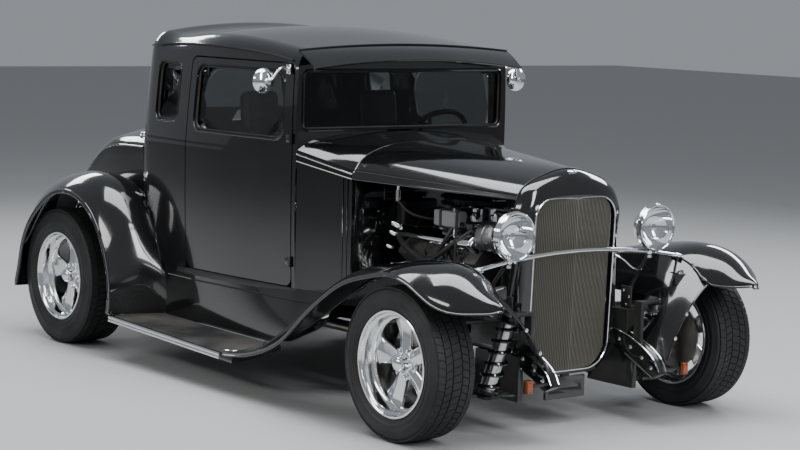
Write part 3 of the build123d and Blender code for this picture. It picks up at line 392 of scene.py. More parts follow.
def rounded(half_w: float, low: float, high: float, foot_r: float, top_r: float,
            steps: int = 8) -> list[Point2]:
    """Outline of an upright rectangle with round corners.

    Args:
        half_w: half of its width.
        low: its lower edge.
        high: its upper edge.
        foot_r: radius of the lower corners.
        top_r: radius of the upper corners.
        steps: points in each corner.

    Returns:
        Its points, counter-clockwise from the lower right corner.
    """
    corners = ((half_w - foot_r, low + foot_r, foot_r, -90), (half_w - top_r, high - top_r, top_r, 0),
               (-half_w + top_r, high - top_r, top_r, 90), (-half_w + foot_r, low + foot_r, foot_r, 180))
    points = []
    for cx, cy, radius, begin in corners:
        for angle in np.linspace(begin, begin + 90, steps):
            points.append((cx + radius * math.cos(math.radians(angle)),
                           cy + radius * math.sin(math.radians(angle))))
    return points


def oval(count: int, wide: float, high: float) -> list[Point2]:
    """Divide an upright ellipse.

    Args:
        count: how many points it is given back as.
        wide: half of its width.
        high: half of its height.

    Returns:
        Its points, counter-clockwise from the right.
    """
    return [(wide * math.cos(a), high * math.sin(a))
            for a in np.linspace(0, 2 * math.pi, count, endpoint=False)]


def shrunk(section: Sequence[Point2], share: float, middle: float) -> list[Point2]:
    """Draw a section together towards its middle.

    Args:
        section: the section's points.
        share: the share of its size that is left.
        middle: height of the point that stays.

    Returns:
        The smaller section.
    """
    return [(y * share, middle + (z - middle) * share) for y, z in section]


class Bench:
    """The maker's bench: primitives, cuts and joins, each on one piece at a time."""

    def __init__(self, paint: PaintShop) -> None:
        """Take the paint shop that pieces are finished in."""
        self.paint = paint

    @staticmethod
    def only(piece: Piece) -> Piece:
        """Select one piece alone and make it the active one."""
        bpy.ops.object.select_all(action="DESELECT")
        piece.select_set(True)
        bpy.context.view_layer.objects.active = piece
        return piece

    @staticmethod
    def _place(name: str, points: np.ndarray) -> Piece:
        """Name the new primitive and put its corners where they go."""
        piece = bpy.context.object
        piece.name = piece.data.name = name
        piece.matrix_world = Matrix.Identity(4)
        piece.data.vertices.foreach_set("co", np.ascontiguousarray(points, np.float32).ravel())
        piece.data.update()
        return piece

    def edit(self, piece: Piece, *steps: Callable[[], object]) -> Piece:
        """Run edit-mode operators on all of a piece.

        Args:
            piece: the piece.
            steps: calls of operators, run in order.

        Returns:
            The piece.
        """
        self.only(piece)
        bpy.ops.object.mode_set(mode="EDIT")
        bpy.ops.mesh.select_all(action="SELECT")
        for step in steps:
            step()
        bpy.ops.object.mode_set(mode="OBJECT")
        return piece

    def tidy(self, piece: Piece, gap: float = 1e-5) -> Piece:
        """Merge doubles and turn the faces outwards."""
        return self.edit(piece, lambda: bpy.ops.mesh.remove_doubles(threshold=gap),
                         lambda: bpy.ops.mesh.normals_make_consistent(inside=False))

    def apply(self, piece: Piece, kind: str, **settings: object) -> Piece:
        """Add a modifier, set it and apply it.

        Args:
            piece: the piece.
            kind: the modifier's type.
            settings: its settings.

        Returns:
            The piece.
        """
        self.only(piece)
        modifier = piece.modifiers.new(kind.lower(), kind)
        for key, value in settings.items():
            setattr(modifier, key, value)
        bpy.ops.object.modifier_apply(modifier=modifier.name)
        return piece

    def sheet(self, name: str, rows: np.ndarray, close: bool = False) -> Piece:
        """Make a surface from a grid of points in millimetres.

        Args:
            name: the piece's name.
            rows: the points, as rows, columns and coordinates.
            close: True where the last column joins the first.

        Returns:
            The piece.
        """
        rows = np.asarray(rows, float) * MM
        if close:
            rows = np.concatenate([rows, rows[:, :1]], axis=1)
        down, across = rows.shape[:2]
        bpy.ops.mesh.primitive_grid_add(x_subdivisions=across - 1, y_subdivisions=down - 1, size=1)
        piece = self._place(name, rows.reshape(-1, 3))
        if close:
            self.edit(piece, lambda: bpy.ops.mesh.remove_doubles(threshold=1e-6))
        return piece

    def close_ends(self, piece: Piece) -> Piece:
        """Fill the open ends of a swept or lofted piece."""
        return self.edit(piece, lambda: bpy.ops.mesh.select_all(action="DESELECT"),
                         lambda: bpy.ops.mesh.select_non_manifold(extend=False),
                         lambda: bpy.ops.mesh.fill_holes(sides=0))

    def soften(self, piece: Piece, angle: float = 32.0) -> Piece:
        """Shade a piece smooth up to an angle."""
        self.only(piece)
        bpy.ops.object.shade_smooth_by_angle(angle=math.radians(angle))
        return piece

    def bevelled(self, piece: Piece, width: float, segments: int = 2,
                 angle: float = 35.0) -> Piece:
        """Round a piece's sharp edges by a width in millimetres."""
        self.apply(piece, "BEVEL", width=width * MM, segments=segments, limit_method="ANGLE",
                   angle_limit=math.radians(angle), harden_normals=False)
        return self.soften(piece)

    def sweep(self, name: str, path: np.ndarray, section: Sequence[Point2], up: Point3 = (0, 0, 1),
              closed: bool = False) -> Piece:
        """Carry a closed section along a path.

        Args:
            name: the piece's name.
            path: the path's points in millimetres.
            section: the section's points, to the path's side and up.
            up: the direction that stays the section's up.
            closed: True where the path joins its own start.

        Returns:
            The piece, closed at its ends.
        """
        path = np.asarray(path, float)
        if closed:
            along = np.roll(path, -1, axis=0) - np.roll(path, 1, axis=0)
        else:
            along = np.gradient(path, axis=0)
        along /= np.linalg.norm(along, axis=1)[:, None]
        aside = np.cross(along, np.array(up, float))
        aside /= np.maximum(np.linalg.norm(aside, axis=1)[:, None], 1e-9)
        above = np.cross(aside, along)
        shape = np.array(section, float)
        rows = path[:, None] + shape[None, :, :1] * aside[:, None] + shape[None, :, 1:] * above[:, None]
        if closed:
            rows = np.concatenate([rows, rows[:1]])
        piece = self.sheet(name, rows, close=True)
        if not closed:
            self.close_ends(piece)
        return self.soften(self.tidy(piece))

    def rod(self, name: str, points: Sequence[Sequence[float]], radius: float, sides: int = 12,
            steps: int = 0, closed: bool = False) -> Piece:
        """Make a round bar or hose along points in millimetres.

        Args:
            name: the piece's name.
            points: the points that it passes.
            radius: its radius.
            sides: flats around it.
            steps: points along a smooth line through them, or 0 for straight runs.
            closed: True for a ring.

        Returns:
            The piece.
        """
        path = smooth_path(points, steps) if steps else np.array(points, float)
        run = np.abs(path[-1] - path[0]) if not closed else np.array([1.0, 1.0, 0.0])
        up = (0, 0, 1) if run[2] < 0.8 * np.linalg.norm(run) else (1, 0.01, 0)
        return self.sweep(name, path, oval(sides, radius, radius), up, closed)

    def turned(self, name: str, profile: Sequence[Point2], centre: Sequence[float], axis: str = "Y",
               steps: int = 48) -> Piece:
        """Turn a closed profile about an axis, as on a lathe.

        Args:
            name: the piece's name.
            profile: radius and place along the axis, in millimetres, around the wall.
            centre: the point of the axis that places count from.
            axis: X, Y or Z.
            steps: flats around it.

        Returns:
            The piece.
        """
        bpy.ops.mesh.primitive_circle_add(vertices=len(profile), radius=1, fill_type="NOTHING")
        flat = np.array([(max(r, 0.0), 0.0, h) for r, h in profile]) * MM
        piece = self._place(name, flat)
        self.edit(piece, lambda: bpy.ops.mesh.spin(steps=steps, angle=2 * math.pi, center=(0, 0, 0),
                                                   axis=(0, 0, 1)))
        self.tidy(piece)
        turn = {"X": Matrix.Rotation(math.pi / 2, 4, "Y"), "Y": Matrix.Rotation(-math.pi / 2, 4, "X"),
                "Z": Matrix.Identity(4)}[axis]
        piece.data.transform(Matrix.Translation(Vector(centre) * MM) @ turn)
        return self.soften(piece)

    def block(self, name: str, size: Sequence[float], centre: Sequence[float], bevel: float = 2.0,
              turn: Point3 = (0, 0, 0), segments: int = 2) -> Piece:
        """Make a block with rounded edges.

        Args:
            name: the piece's name.
            size: its lengths along X, Y and Z in millimetres.
            centre: its middle.
            bevel: the edges' radius.
            turn: its turn about X, Y and Z in degrees.
            segments: flats in each rounded edge.

        Returns:
            The piece.
        """
        bpy.ops.mesh.primitive_cube_add(size=1)
        piece = bpy.context.object
        piece.name = piece.data.name = name
        piece.data.transform(Matrix.Diagonal((*[s * MM for s in size], 1)))
        self.bevelled(piece, bevel, segments)
        angles = [math.radians(a) for a in turn]
        spun = Matrix.Rotation(angles[2], 4, "Z") @ Matrix.Rotation(angles[1], 4, "Y") \
            @ Matrix.Rotation(angles[0], 4, "X")
        piece.data.transform(Matrix.Translation(Vector(centre) * MM) @ spun)
        return piece

    def plate(self, name: str, outline: Sequence[Point2], face: Callable[[float, float, float], Point3],
              depth: Point2, bevel: float = 0.0) -> Piece:
        """Cut a flat outline out of a plate.

        Args:
            name: the piece's name.
            outline: the outline's points.
            face: gives the place of an outline's point at a depth.
            depth: the plate's two faces.
            bevel: radius of its edges in millimetres.

        Returns:
            The piece.
        """
        bpy.ops.mesh.primitive_circle_add(vertices=len(outline), radius=1, fill_type="NGON")
        flat = np.array([face(a, b, depth[0]) for a, b in outline]) * MM
        piece = self._place(name, flat)
        move = (Vector(face(*outline[0], depth[1])) - Vector(face(*outline[0], depth[0]))) * MM
        self.edit(piece, lambda: bpy.ops.mesh.extrude_region_move(
            TRANSFORM_OT_translate={"value": tuple(move)}),
            lambda: bpy.ops.mesh.select_all(action="SELECT"),
            lambda: bpy.ops.mesh.normals_make_consistent(inside=False))
        return self.bevelled(piece, bevel) if bevel else piece

    def bolts(self, name: str, places: Iterable[Sequence[float]], radius: float, height: float,
              axis: str = "Y", way: float = 1.0) -> Piece:
        """Make hexagon bolt heads with washers.

        Args:
            name: the piece's name.
            places: the middle of each head's seat in millimetres.
            radius: the heads' radius.
            height: the heads' height.
            axis: the bolts' axis.
            way: 1 where heads stand towards plus, -1 towards minus.

        Returns:
            All the bolts as one piece.
        """
        heads = []
        for place in places:
            brim, depth, top = radius * 1.35, height * 0.18 * way, height * way
            washer = [(0, 0), (brim, 0), (brim, depth), (0, depth)]
            head = [(0, 0), (radius, 0), (radius, height * 0.85 * way), (radius * 0.8, top), (0, top)]
            heads.append(self.turned("washer", washer, place, axis, 12))
            heads.append(self.turned("head", head, place, axis, 6))
        return self.joined(name, heads)

    def joined(self, name: str, pieces: Sequence[Piece]) -> Piece:
        """Join pieces into one and name it."""
        bpy.ops.object.select_all(action="DESELECT")
        for piece in pieces:
            piece.select_set(True)
        bpy.context.view_layer.objects.active = pieces[0]
        if len(pieces) > 1:
            bpy.ops.object.join()
        pieces[0].name = pieces[0].data.name = name
        return pieces[0]

    def copy(self, piece: Piece, name: str, move: Matrix | None = None) -> Piece:
        """Copy a piece with its own mesh.

        Args:
            piece: the piece to copy.
            name: the copy's name.
            move: where the copy goes from the first one's place.

        Returns:
            The copy.
        """
        self.only(piece)
        bpy.ops.object.duplicate(linked=False)
        twin = bpy.context.object
        twin.name = twin.data.name = name
        if move is not None:
            twin.data.transform(move)
        return twin

    def mirrored(self, piece: Piece, name: str) -> Piece:
        """Copy a piece to the car's other side."""
        twin = self.copy(piece, name)
        normals = [Vector(corner.vector) for corner in piece.data.corner_normals]
        custom = piece.data.has_custom_normals
        twin.data.transform(Matrix.Diagonal((1, -1, 1, 1)))
        loops = [list(face.loop_indices) for face in piece.data.polygons]
        twin.data.flip_normals()
        if custom:
            kept = [Vector((0, 0, 1))] * len(normals)
            for face, old in zip(twin.data.polygons, loops):
                by_corner = {piece.data.loops[i].vertex_index: normals[i] for i in old}
                for i in face.loop_indices:
                    normal = by_corner[twin.data.loops[i].vertex_index]
                    kept[i] = Vector((normal.x, -normal.y, normal.z))
            twin.data.normals_split_custom_set(kept)
        return twin

    def cut(self, piece: Piece, cutter: Piece, keep_inside: bool = False) -> Piece:
        """Cut a piece with another one, which is used up.

        Args:
            piece: the piece to cut.
            cutter: the shape that cuts.
            keep_inside: True to keep what is inside the cutter.

        Returns:
            The piece.
        """
        self.apply(piece, "BOOLEAN", object=cutter, solver="EXACT",
                   operation="INTERSECT" if keep_inside else "DIFFERENCE")
        bpy.data.objects.remove(cutter)
        return piece

    def relight(self, piece: Piece, skin: Piece, reach: float = 0.6) -> Piece:
        """Give a cut piece the shading of the smooth skin that it was cut from.

        Args:
            piece: the cut piece.
            skin: the smooth surface before any cut.
            reach: how far in millimetres a corner may be from the skin.

        Returns:
            The piece.
        """
        mesh = skin.data
        tree = BVHTree.FromPolygons([v.co for v in mesh.vertices],
                                    [tuple(p.vertices) for p in mesh.polygons])
        normals = []
        for face in piece.data.polygons:
            for corner in face.loop_indices:
                spot = piece.data.vertices[piece.data.loops[corner].vertex_index].co
                place, normal, index, gap = tree.find_nearest(spot)
                chosen = face.normal
                if place is not None and gap < reach * MM and normal.dot(face.normal) > 0.75:
                    ring = mesh.polygons[index].vertices
                    shares = poly_3d_calc([mesh.vertices[i].co for i in ring], place)
                    chosen = sum((mesh.vertices[i].normal * s for i, s in zip(ring, shares)), Vector())
                normals.append(chosen.normalized())
        for face in piece.data.polygons:
            face.use_smooth = True
        piece.data.normals_split_custom_set(normals)
        return piece

    def finish(self, piece: Piece, finish: Finish, *nodes: str, body: str = "chassis") -> Piece:
        """Paint a piece, hang it on its body and hide the CAD nodes that it stands for.

        Args:
            piece: the finished piece.
            finish: its finish.
            nodes: CAD nodes that it stands for.
            body: the CAD body that it moves with.

        Returns:
            The piece.
        """
        self.paint.coat(piece, finish)
        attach(piece, body)
        if nodes:
            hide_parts(*nodes)
        LOG.info("%s rides on %s in %s", piece.name, body, finish.name)
        return piece

    def fit(self, name: str, pieces: Sequence[Piece], finish: Finish, *nodes: str,
            body: str = "chassis") -> Piece:
        """Join pieces under one name and finish them as one.

        Args:
            name: the joined piece's name.
            pieces: what it is joined from.
            finish: its finish.
            nodes: CAD nodes that it stands for.
            body: the CAD body that it moves with.

        Returns:
            The piece.
        """
        return self.finish(self.joined(name, pieces), finish, *nodes, body=body)

    def dressed(self, node: str, body: str, finish: Finish, bevel: float = 0.0,
                angle: float = 30.0) -> Piece:
        """Copy a CAD node as a smooth piece that stands for it.

        Args:
            node: the CAD node.
            body: its body.
            finish: its finish.
            bevel: radius of its edges in millimetres, or 0.
            angle: the angle up to which it is shaded smooth.

        Returns:
            The copy.
        """
        twin = self.copy(bpy.data.objects[node], f"{node}_dressed")
        twin.parent = None
        for key in list(twin.keys()):
            if key.startswith("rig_"):
                del twin[key]
        self.tidy(twin, 2e-5)
        if bevel:
            self.edit(twin, lambda: bpy.ops.mesh.dissolve_limited(angle_limit=math.radians(4)))
            self.apply(twin, "BEVEL", width=bevel * MM, segments=2, limit_method="ANGLE",
                       angle_limit=math.radians(40), use_clamp_overlap=True)
        self.soften(twin, angle)
        return self.finish(twin, finish, node, body=body)


@dataclass(frozen=True)
class Stations:
    """Where the car's main lines are, read from the frame."""

    front_axle: float
    rear_axle: float
    front_r: float
    rear_r: float

    @classmethod
    def read(cls) -> "Stations":
        """Read the axles and tyres from the frame, in millimetres."""
        low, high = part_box("front_tyre_right")
        back_low, back_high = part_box("rear_tyre_right")
        return cls(round((low.x + high.x) / 2 / MM), round((back_low.x + back_high.x) / 2 / MM),
                   high.z / 2 / MM, back_high.z / 2 / MM)

    def ahead(self, distance: float) -> float:
        """X of a station that many millimetres ahead of the front axle."""
        return self.front_axle + distance


SIDES = (("right", -1), ("left", 1))
SILL_Z = 448.0
SCREEN_X = -1023.0
BACK_X = -2245.0
FIREWALL_X = -793.0
# columns: station, y at sill, y and z at belt, y and z at roof edge, z of roof crown
CAB = np.array((
    (-1023, 568, 578, 1005, 572, 1454, 1484), (-1300, 596, 606, 1000, 588, 1482, 1532),
    (-1770, 622, 638, 1003, 594, 1494, 1541), (-2110, 612, 628, 1000, 586, 1490, 1541),
    (-2200, 594, 610, 996, 568, 1476, 1527), (-2245, 572, 586, 990, 540, 1410, 1448)), float)
# front, rear, bottom and top of each outline in side view, and its corner radius
DOOR = (-1050.0, -1798.0, 454.0, 1402.0, 36.0)
DOORWAY = (-1044.0, -1804.0, 388.0, 1408.0, 40.0)
DOOR_WINDOW = (-1113.0, -1749.0, 1078.0, 1368.0, 46.0)
QUARTER_WINDOW = (-1892.0, -2085.0, 1106.0, 1370.0, 34.0)
# columns: station, foot y and z, shoulder start, middle and end as y and z, z of crown
SCREEN_ROW = (-1023, 578, 1008, 570, 1040, 521, 1070, 417, 1092, 1116)
COWL_ROW = (-793, 449, 933, 440, 968, 402, 1014, 332, 1052, 1084)
HOOD_ROW = (42, 264, 915, 257, 934, 238, 958, 147, 1006, 1035)
# columns: station, y at foot, y and z at shoulder, z of crown
DECK = np.array(((-2246, 576, 588, 990, 1080), (-2480, 566, 578, 984, 1070), (-2620, 552, 566, 962, 1048),
                 (-2700, 542, 556, 928, 1012), (-2800, 530, 542, 873, 950), (-2865, 520, 530, 831, 900),
                 (-2925, 505, 515, 785, 835)), float)
# front, half width and foot of the deck lid
LID = (-2330.0, 405.0, 590.0)
# heights of the belt's two beads on the cab
BELT_BEADS = (1021.0, 992.0)
# columns: station, outer y, lip z, crown y and z, inner y and z
FRONT_FENDER = np.array((
    (-1150, 846, 178, 740, 188, 606, 196), (-1000, 848, 196, 730, 222, 600, 250),
    (-850, 850, 236, 720, 310, 590, 330), (-710, 850, 304, 712, 412, 570, 424),
    (-575, 850, 412, 706, 508, 552, 512), (-440, 850, 510, 702, 586, 544, 580),
    (-300, 850, 588, 700, 640, 541, 622), (-150, 850, 632, 700, 672, 541, 642),
    (0, 850, 657, 700, 698, 541, 655), (125, 850, 632, 700, 708, 541, 660),
    (250, 850, 580, 695, 692, 550, 614), (310, 834, 562, 692, 664, 555, 568),
    (350, 808, 556, 690, 637, 586, 560), (420, 738, 559, 685, 598, 633, 563),
    (445, 712, 563, 683, 586, 655, 567), (458, 692, 569, 681, 577, 670, 571)), float)
# arc of the front fender's rear end on the running board, as station and y
HEEL = ((-1172.0, 862.0), (-1158.0, 822.0), (-1112.0, 804.0), (-1092.0, 771.0), (-1088.0, 732.0),
        (-1114.0, 663.0), (-1180.0, 592.0))
# columns: angle from straight ahead about the rear axle, lip radius, crown radius, joint radius
REAR_FENDER = np.array((
    (-12, 545, 560, 672), (0, 546, 566, 650), (15, 532, 574, 620), (30, 516, 588, 572),
    (45, 500, 590, 546), (60, 473, 560, 514), (75, 438, 510, 484), (90, 402, 470, 464),
    (110, 356, 445, 450), (135, 332, 404, 424), (160, 326, 358, 368), (180, 338, 350, 352),
    (194, 378, 384, 384)), float)
# columns: station, upper, middle and lower y and z
VALANCE = np.array((
    (-700, 566, 418, 470, 409, 373, 400), (-300, 543, 618, 431, 517, 318, 415),
    (0, 543, 650, 428, 517, 314, 385), (125, 544, 656, 416, 509, 314, 345),
    (250, 553, 610, 409, 475, 314, 302), (316, 562, 561, 425, 440, 320, 268)), float)
# half width, foot, top and corner radius of the end windows
SCREEN = (550.0, 1119.0, 1380.0, 34.0)
REAR_WINDOW = (300.0, 1130.0, 1370.0, 60.0)
# columns: station, foot, lower side, upper side, shoulder and top end as y and z, z of top
SHELL = np.array(((50, 152, 214, 270, 320, 277, 876, 236, 956, 145, 1003, 1032),
                  (116, 142, 205, 224, 292, 231, 815, 199, 910, 118, 955, 974)), float)
# the grille is set back and leans forward at the top, in degrees, about this height
SHELL_SETBACK = 12.0
SHELL_LEAN = 2.12
SHELL_PIVOT_Z = 860.0
# how far a rounded corner's curve is drawn towards the corner
CORNER_GRIP = 0.56


def table_at(table: np.ndarray, stations: Iterable[float]) -> np.ndarray:
    """Read a table of sections smoothly at stations in between.

    Args:
        table: rows that start with their station.
        stations: the stations wanted.

    Returns:
        One row of the other columns for each station.
    """
    order = np.argsort(table[:, 0])
    return spline(table[order, 0], table[order, 1:], np.array(list(stations), float))


def both_sides(half: Sequence[Point2]) -> list[Point2]:
    """Complete a half section that ends in the middle: from the right foot over the top to the left."""
    right = [(-y, z) for y, z in half]
    return right + [(y, z) for y, z in reversed(half[:-1])]


def topped(side: np.ndarray, edge: np.ndarray, z_crown: float, reach: float, steps: int,
           count: int) -> tuple[np.ndarray, list[np.ndarray]]:
    """Round a section's upper corner and carry it over the top to the middle.

    Args:
        side: the point that the side comes up from.
        edge: the corner, before it is rounded.
        z_crown: height of the top in the middle.
        reach: how far from the corner the rounding starts and ends.
        steps: points of the rounding.
        count: points over the top.

    Returns:
        Where the rounding starts, and the points from there on.
    """
    roof = np.array(arc(tuple(edge), (0, z_crown), (-edge[0], edge[1]), 81))[:41]
    upright = edge + (side - edge) / np.linalg.norm(side - edge) * reach
    start = int(np.argmax(np.linalg.norm(roof - edge, axis=1) > reach))
    grip_a = upright + CORNER_GRIP * (edge - upright)
    grip_b = roof[start] + CORNER_GRIP * (edge - roof[start])
    points = []
    for t in np.linspace(0, 1, steps)[:-1]:
        points.append((1 - t) ** 3 * upright + 3 * (1 - t) ** 2 * t * grip_a
                      + 3 * (1 - t) * t ** 2 * grip_b + t ** 3 * roof[start])
    across = roof[start, 0] * (1 - np.linspace(0, 1, count))
    points += [np.array(p) for p in zip(across, np.interp(-across, -roof[:, 0], roof[:, 1]))]
    return upright, points


def cab_half(row: Sequence[float], inset: float = 0.0) -> list[Point2]:
    """Half section of the cab, from the sill up and over to the middle of the roof.

    Args:
        row: the section's figures.
        inset: how far it is moved inwards.

    Returns:
        Its points.
    """
    y_sill, y_belt, z_belt, y_edge, z_edge, z_crown = row
    foot = np.array((y_sill - inset, SILL_Z))
    belt = np.array((y_belt - inset, z_belt))
    edge = np.array((y_edge - inset, z_edge - inset))
    upright, top = topped(belt, edge, z_crown - inset, 62.0 - inset * 0.6, 9, 18)
    points = []
    for low, high, steps, bulge in ((foot, belt, 15, 4), (belt, upright, 14, 3)):
        for t in np.linspace(0, 1, steps)[:-1]:
            points.append(low + t * (high - low) + np.array((bulge * math.sin(math.pi * t), 0)))
    return [(float(p[0]), float(p[1])) for p in points + top]


def crowned_half(row: Sequence[float], inset: float, foot: float | None) -> list[Point2]:
    """Half section of the cowl or hood.

    Args:
        row: the section's figures with its station first.
        inset: how far it is moved inwards.
        foot: z that its side goes down to, or None for the hood's own edge.

    Returns:
        Its points, from the foot to the middle.
    """
    _, y0, z0, y1, z1, y2, z2, y3, z3, z4 = row
    low = np.array((y0 - inset, z0) if foot is None else (y0 - inset - 8, foot))
    start = np.array((y1 - inset, z1))
    points = [tuple(low + t * (start - low)) for t in np.linspace(0, 1, 5 if foot is None else 12)[:-1]]
    top = [(y1 - inset, z1), (y2 - 0.75 * inset, z2 - 0.75 * inset), (y3 - 0.2 * inset, z3 - inset),
           (0, z4 - inset), (-y3 + 0.2 * inset, z3 - inset), (-y2 + 0.75 * inset, z2 - 0.75 * inset),
           (-y1 + inset, z1)]
    crown = smooth_path(top, 61)[:31]
    points += [tuple(p) for p in crown]
    points[-1] = (0.0, float(crown[-1][1]))
    return points


def deck_half(row: Sequence[float], inset: float) -> list[Point2]:
    """Half section of the rear deck, from the sill to the middle.

    Args:
        row: the section's figures.
        inset: how far it is moved inwards.

    Returns:
        Its points.
    """
    y_foot, y_top, z_top, z_crown = row
    foot = np.array((y_foot - inset, SILL_Z))
    edge = np.array((y_top - inset, z_top - inset))
    upright, top = topped(foot, edge, z_crown - inset, 36.0 - inset * 0.5, 10, 20)
    points = [foot + t * (upright - foot) for t in np.linspace(0, 1, 14)[:-1]]
    return [(float(p[0]), float(p[1])) for p in points + top]


@dataclass
class Assembly:
    """A part of the car, built at the bench from the frame's stations."""

    bench: Bench
    at: Stations

    def spot(self, x: float, y: float, z: float) -> Point3:
        """Place a point by its station."""
        return self.at.ahead(x), y, z

    def run(self, *places: Point3, side: int = 1) -> list[Point3]:
        """Place a line's points: station, distance from the middle and height."""
        return [self.spot(x, side * y, z) for x, y, z in places]

    def pair(self, name: str, pieces: Sequence[Piece], finish: Finish, node: str = "") -> None:
        """Join right-side pieces, mirror them to the left and finish both.

        Args:
            name: the pieces' name, without its side.
            pieces: what the right one is joined from.
            finish: their finish.
            node: the CAD nodes' name without its side, or nothing.
        """
        right = self.bench.joined(f"{name}_right", pieces)
        left = self.bench.mirrored(right, f"{name}_left")
        for side, piece in (("right", right), ("left", left)):
            self.bench.finish(piece, finish, *([f"{node}_{side}"] if node else []))

    def side_face(self, side: int) -> Callable[[float, float, float], Point3]:
        """Place points of a side-view outline: station, height, distance from the middle."""
        return lambda x, z, y: self.spot(x, side * y, z)

    def side_cutter(self, name: str, outline: Sequence[float], side: int, depth: Point2) -> Piece:
        """Make a rounded outline in side view into a block that cuts one side.

        Args:
            name: the block's name.
            outline: front, rear, bottom, top and corner radius.
            side: 1 for the left, -1 for the right.
            depth: nearest and farthest distance from the middle.

        Returns:
            The block.
        """
        front, rear, low, high, radius = outline
        middle = (front + rear) / 2
        points = [(middle + a, b) for a, b in rounded((front - rear) / 2, low, high, radius, radius, 9)]
        return self.bench.plate(name, points, self.side_face(side), depth)

    def walled(self, name: str, stations: Sequence[float], outer: Sequence[Sequence[Point2]],
               inner_stations: Sequence[float], inner: Sequence[Sequence[Point2]]) -> Piece:
        """Make a hollow body wall from outer sections and the inner ones that belong to them.

        Args:
            name: the piece's name.
            stations: station of each outer section.
            outer: the outer sections, from foot to foot.
            inner_stations: station of each inner section.
            inner: the inner sections, from foot to foot.

        Returns:
            The closed wall.
        """
        rows = []
        for x, section, x_in, core in zip(stations, outer, inner_stations, inner):
            rows.append([self.spot(x, y, z) for y, z in section]
                        + [self.spot(x_in, y, z) for y, z in reversed(core)])
        piece = self.bench.sheet(name, np.array(rows), close=True)
        self.bench.close_ends(piece)
        return self.bench.tidy(piece)

    def skin(self, name: str, stations: Sequence[float], sections: Sequence[Sequence[Point2]]) -> Piece:
        """Make the smooth outer surface alone, as the pattern of a wall's shading."""
        rows = [[self.spot(x, y, z) for y, z in section] for x, section in zip(stations, sections)]
        piece = self.bench.sheet(name, np.array(rows))
        middle = piece.data.polygons[len(piece.data.polygons) // 2]
        if middle.normal.z < 0:
            piece.data.flip_normals()
        return piece


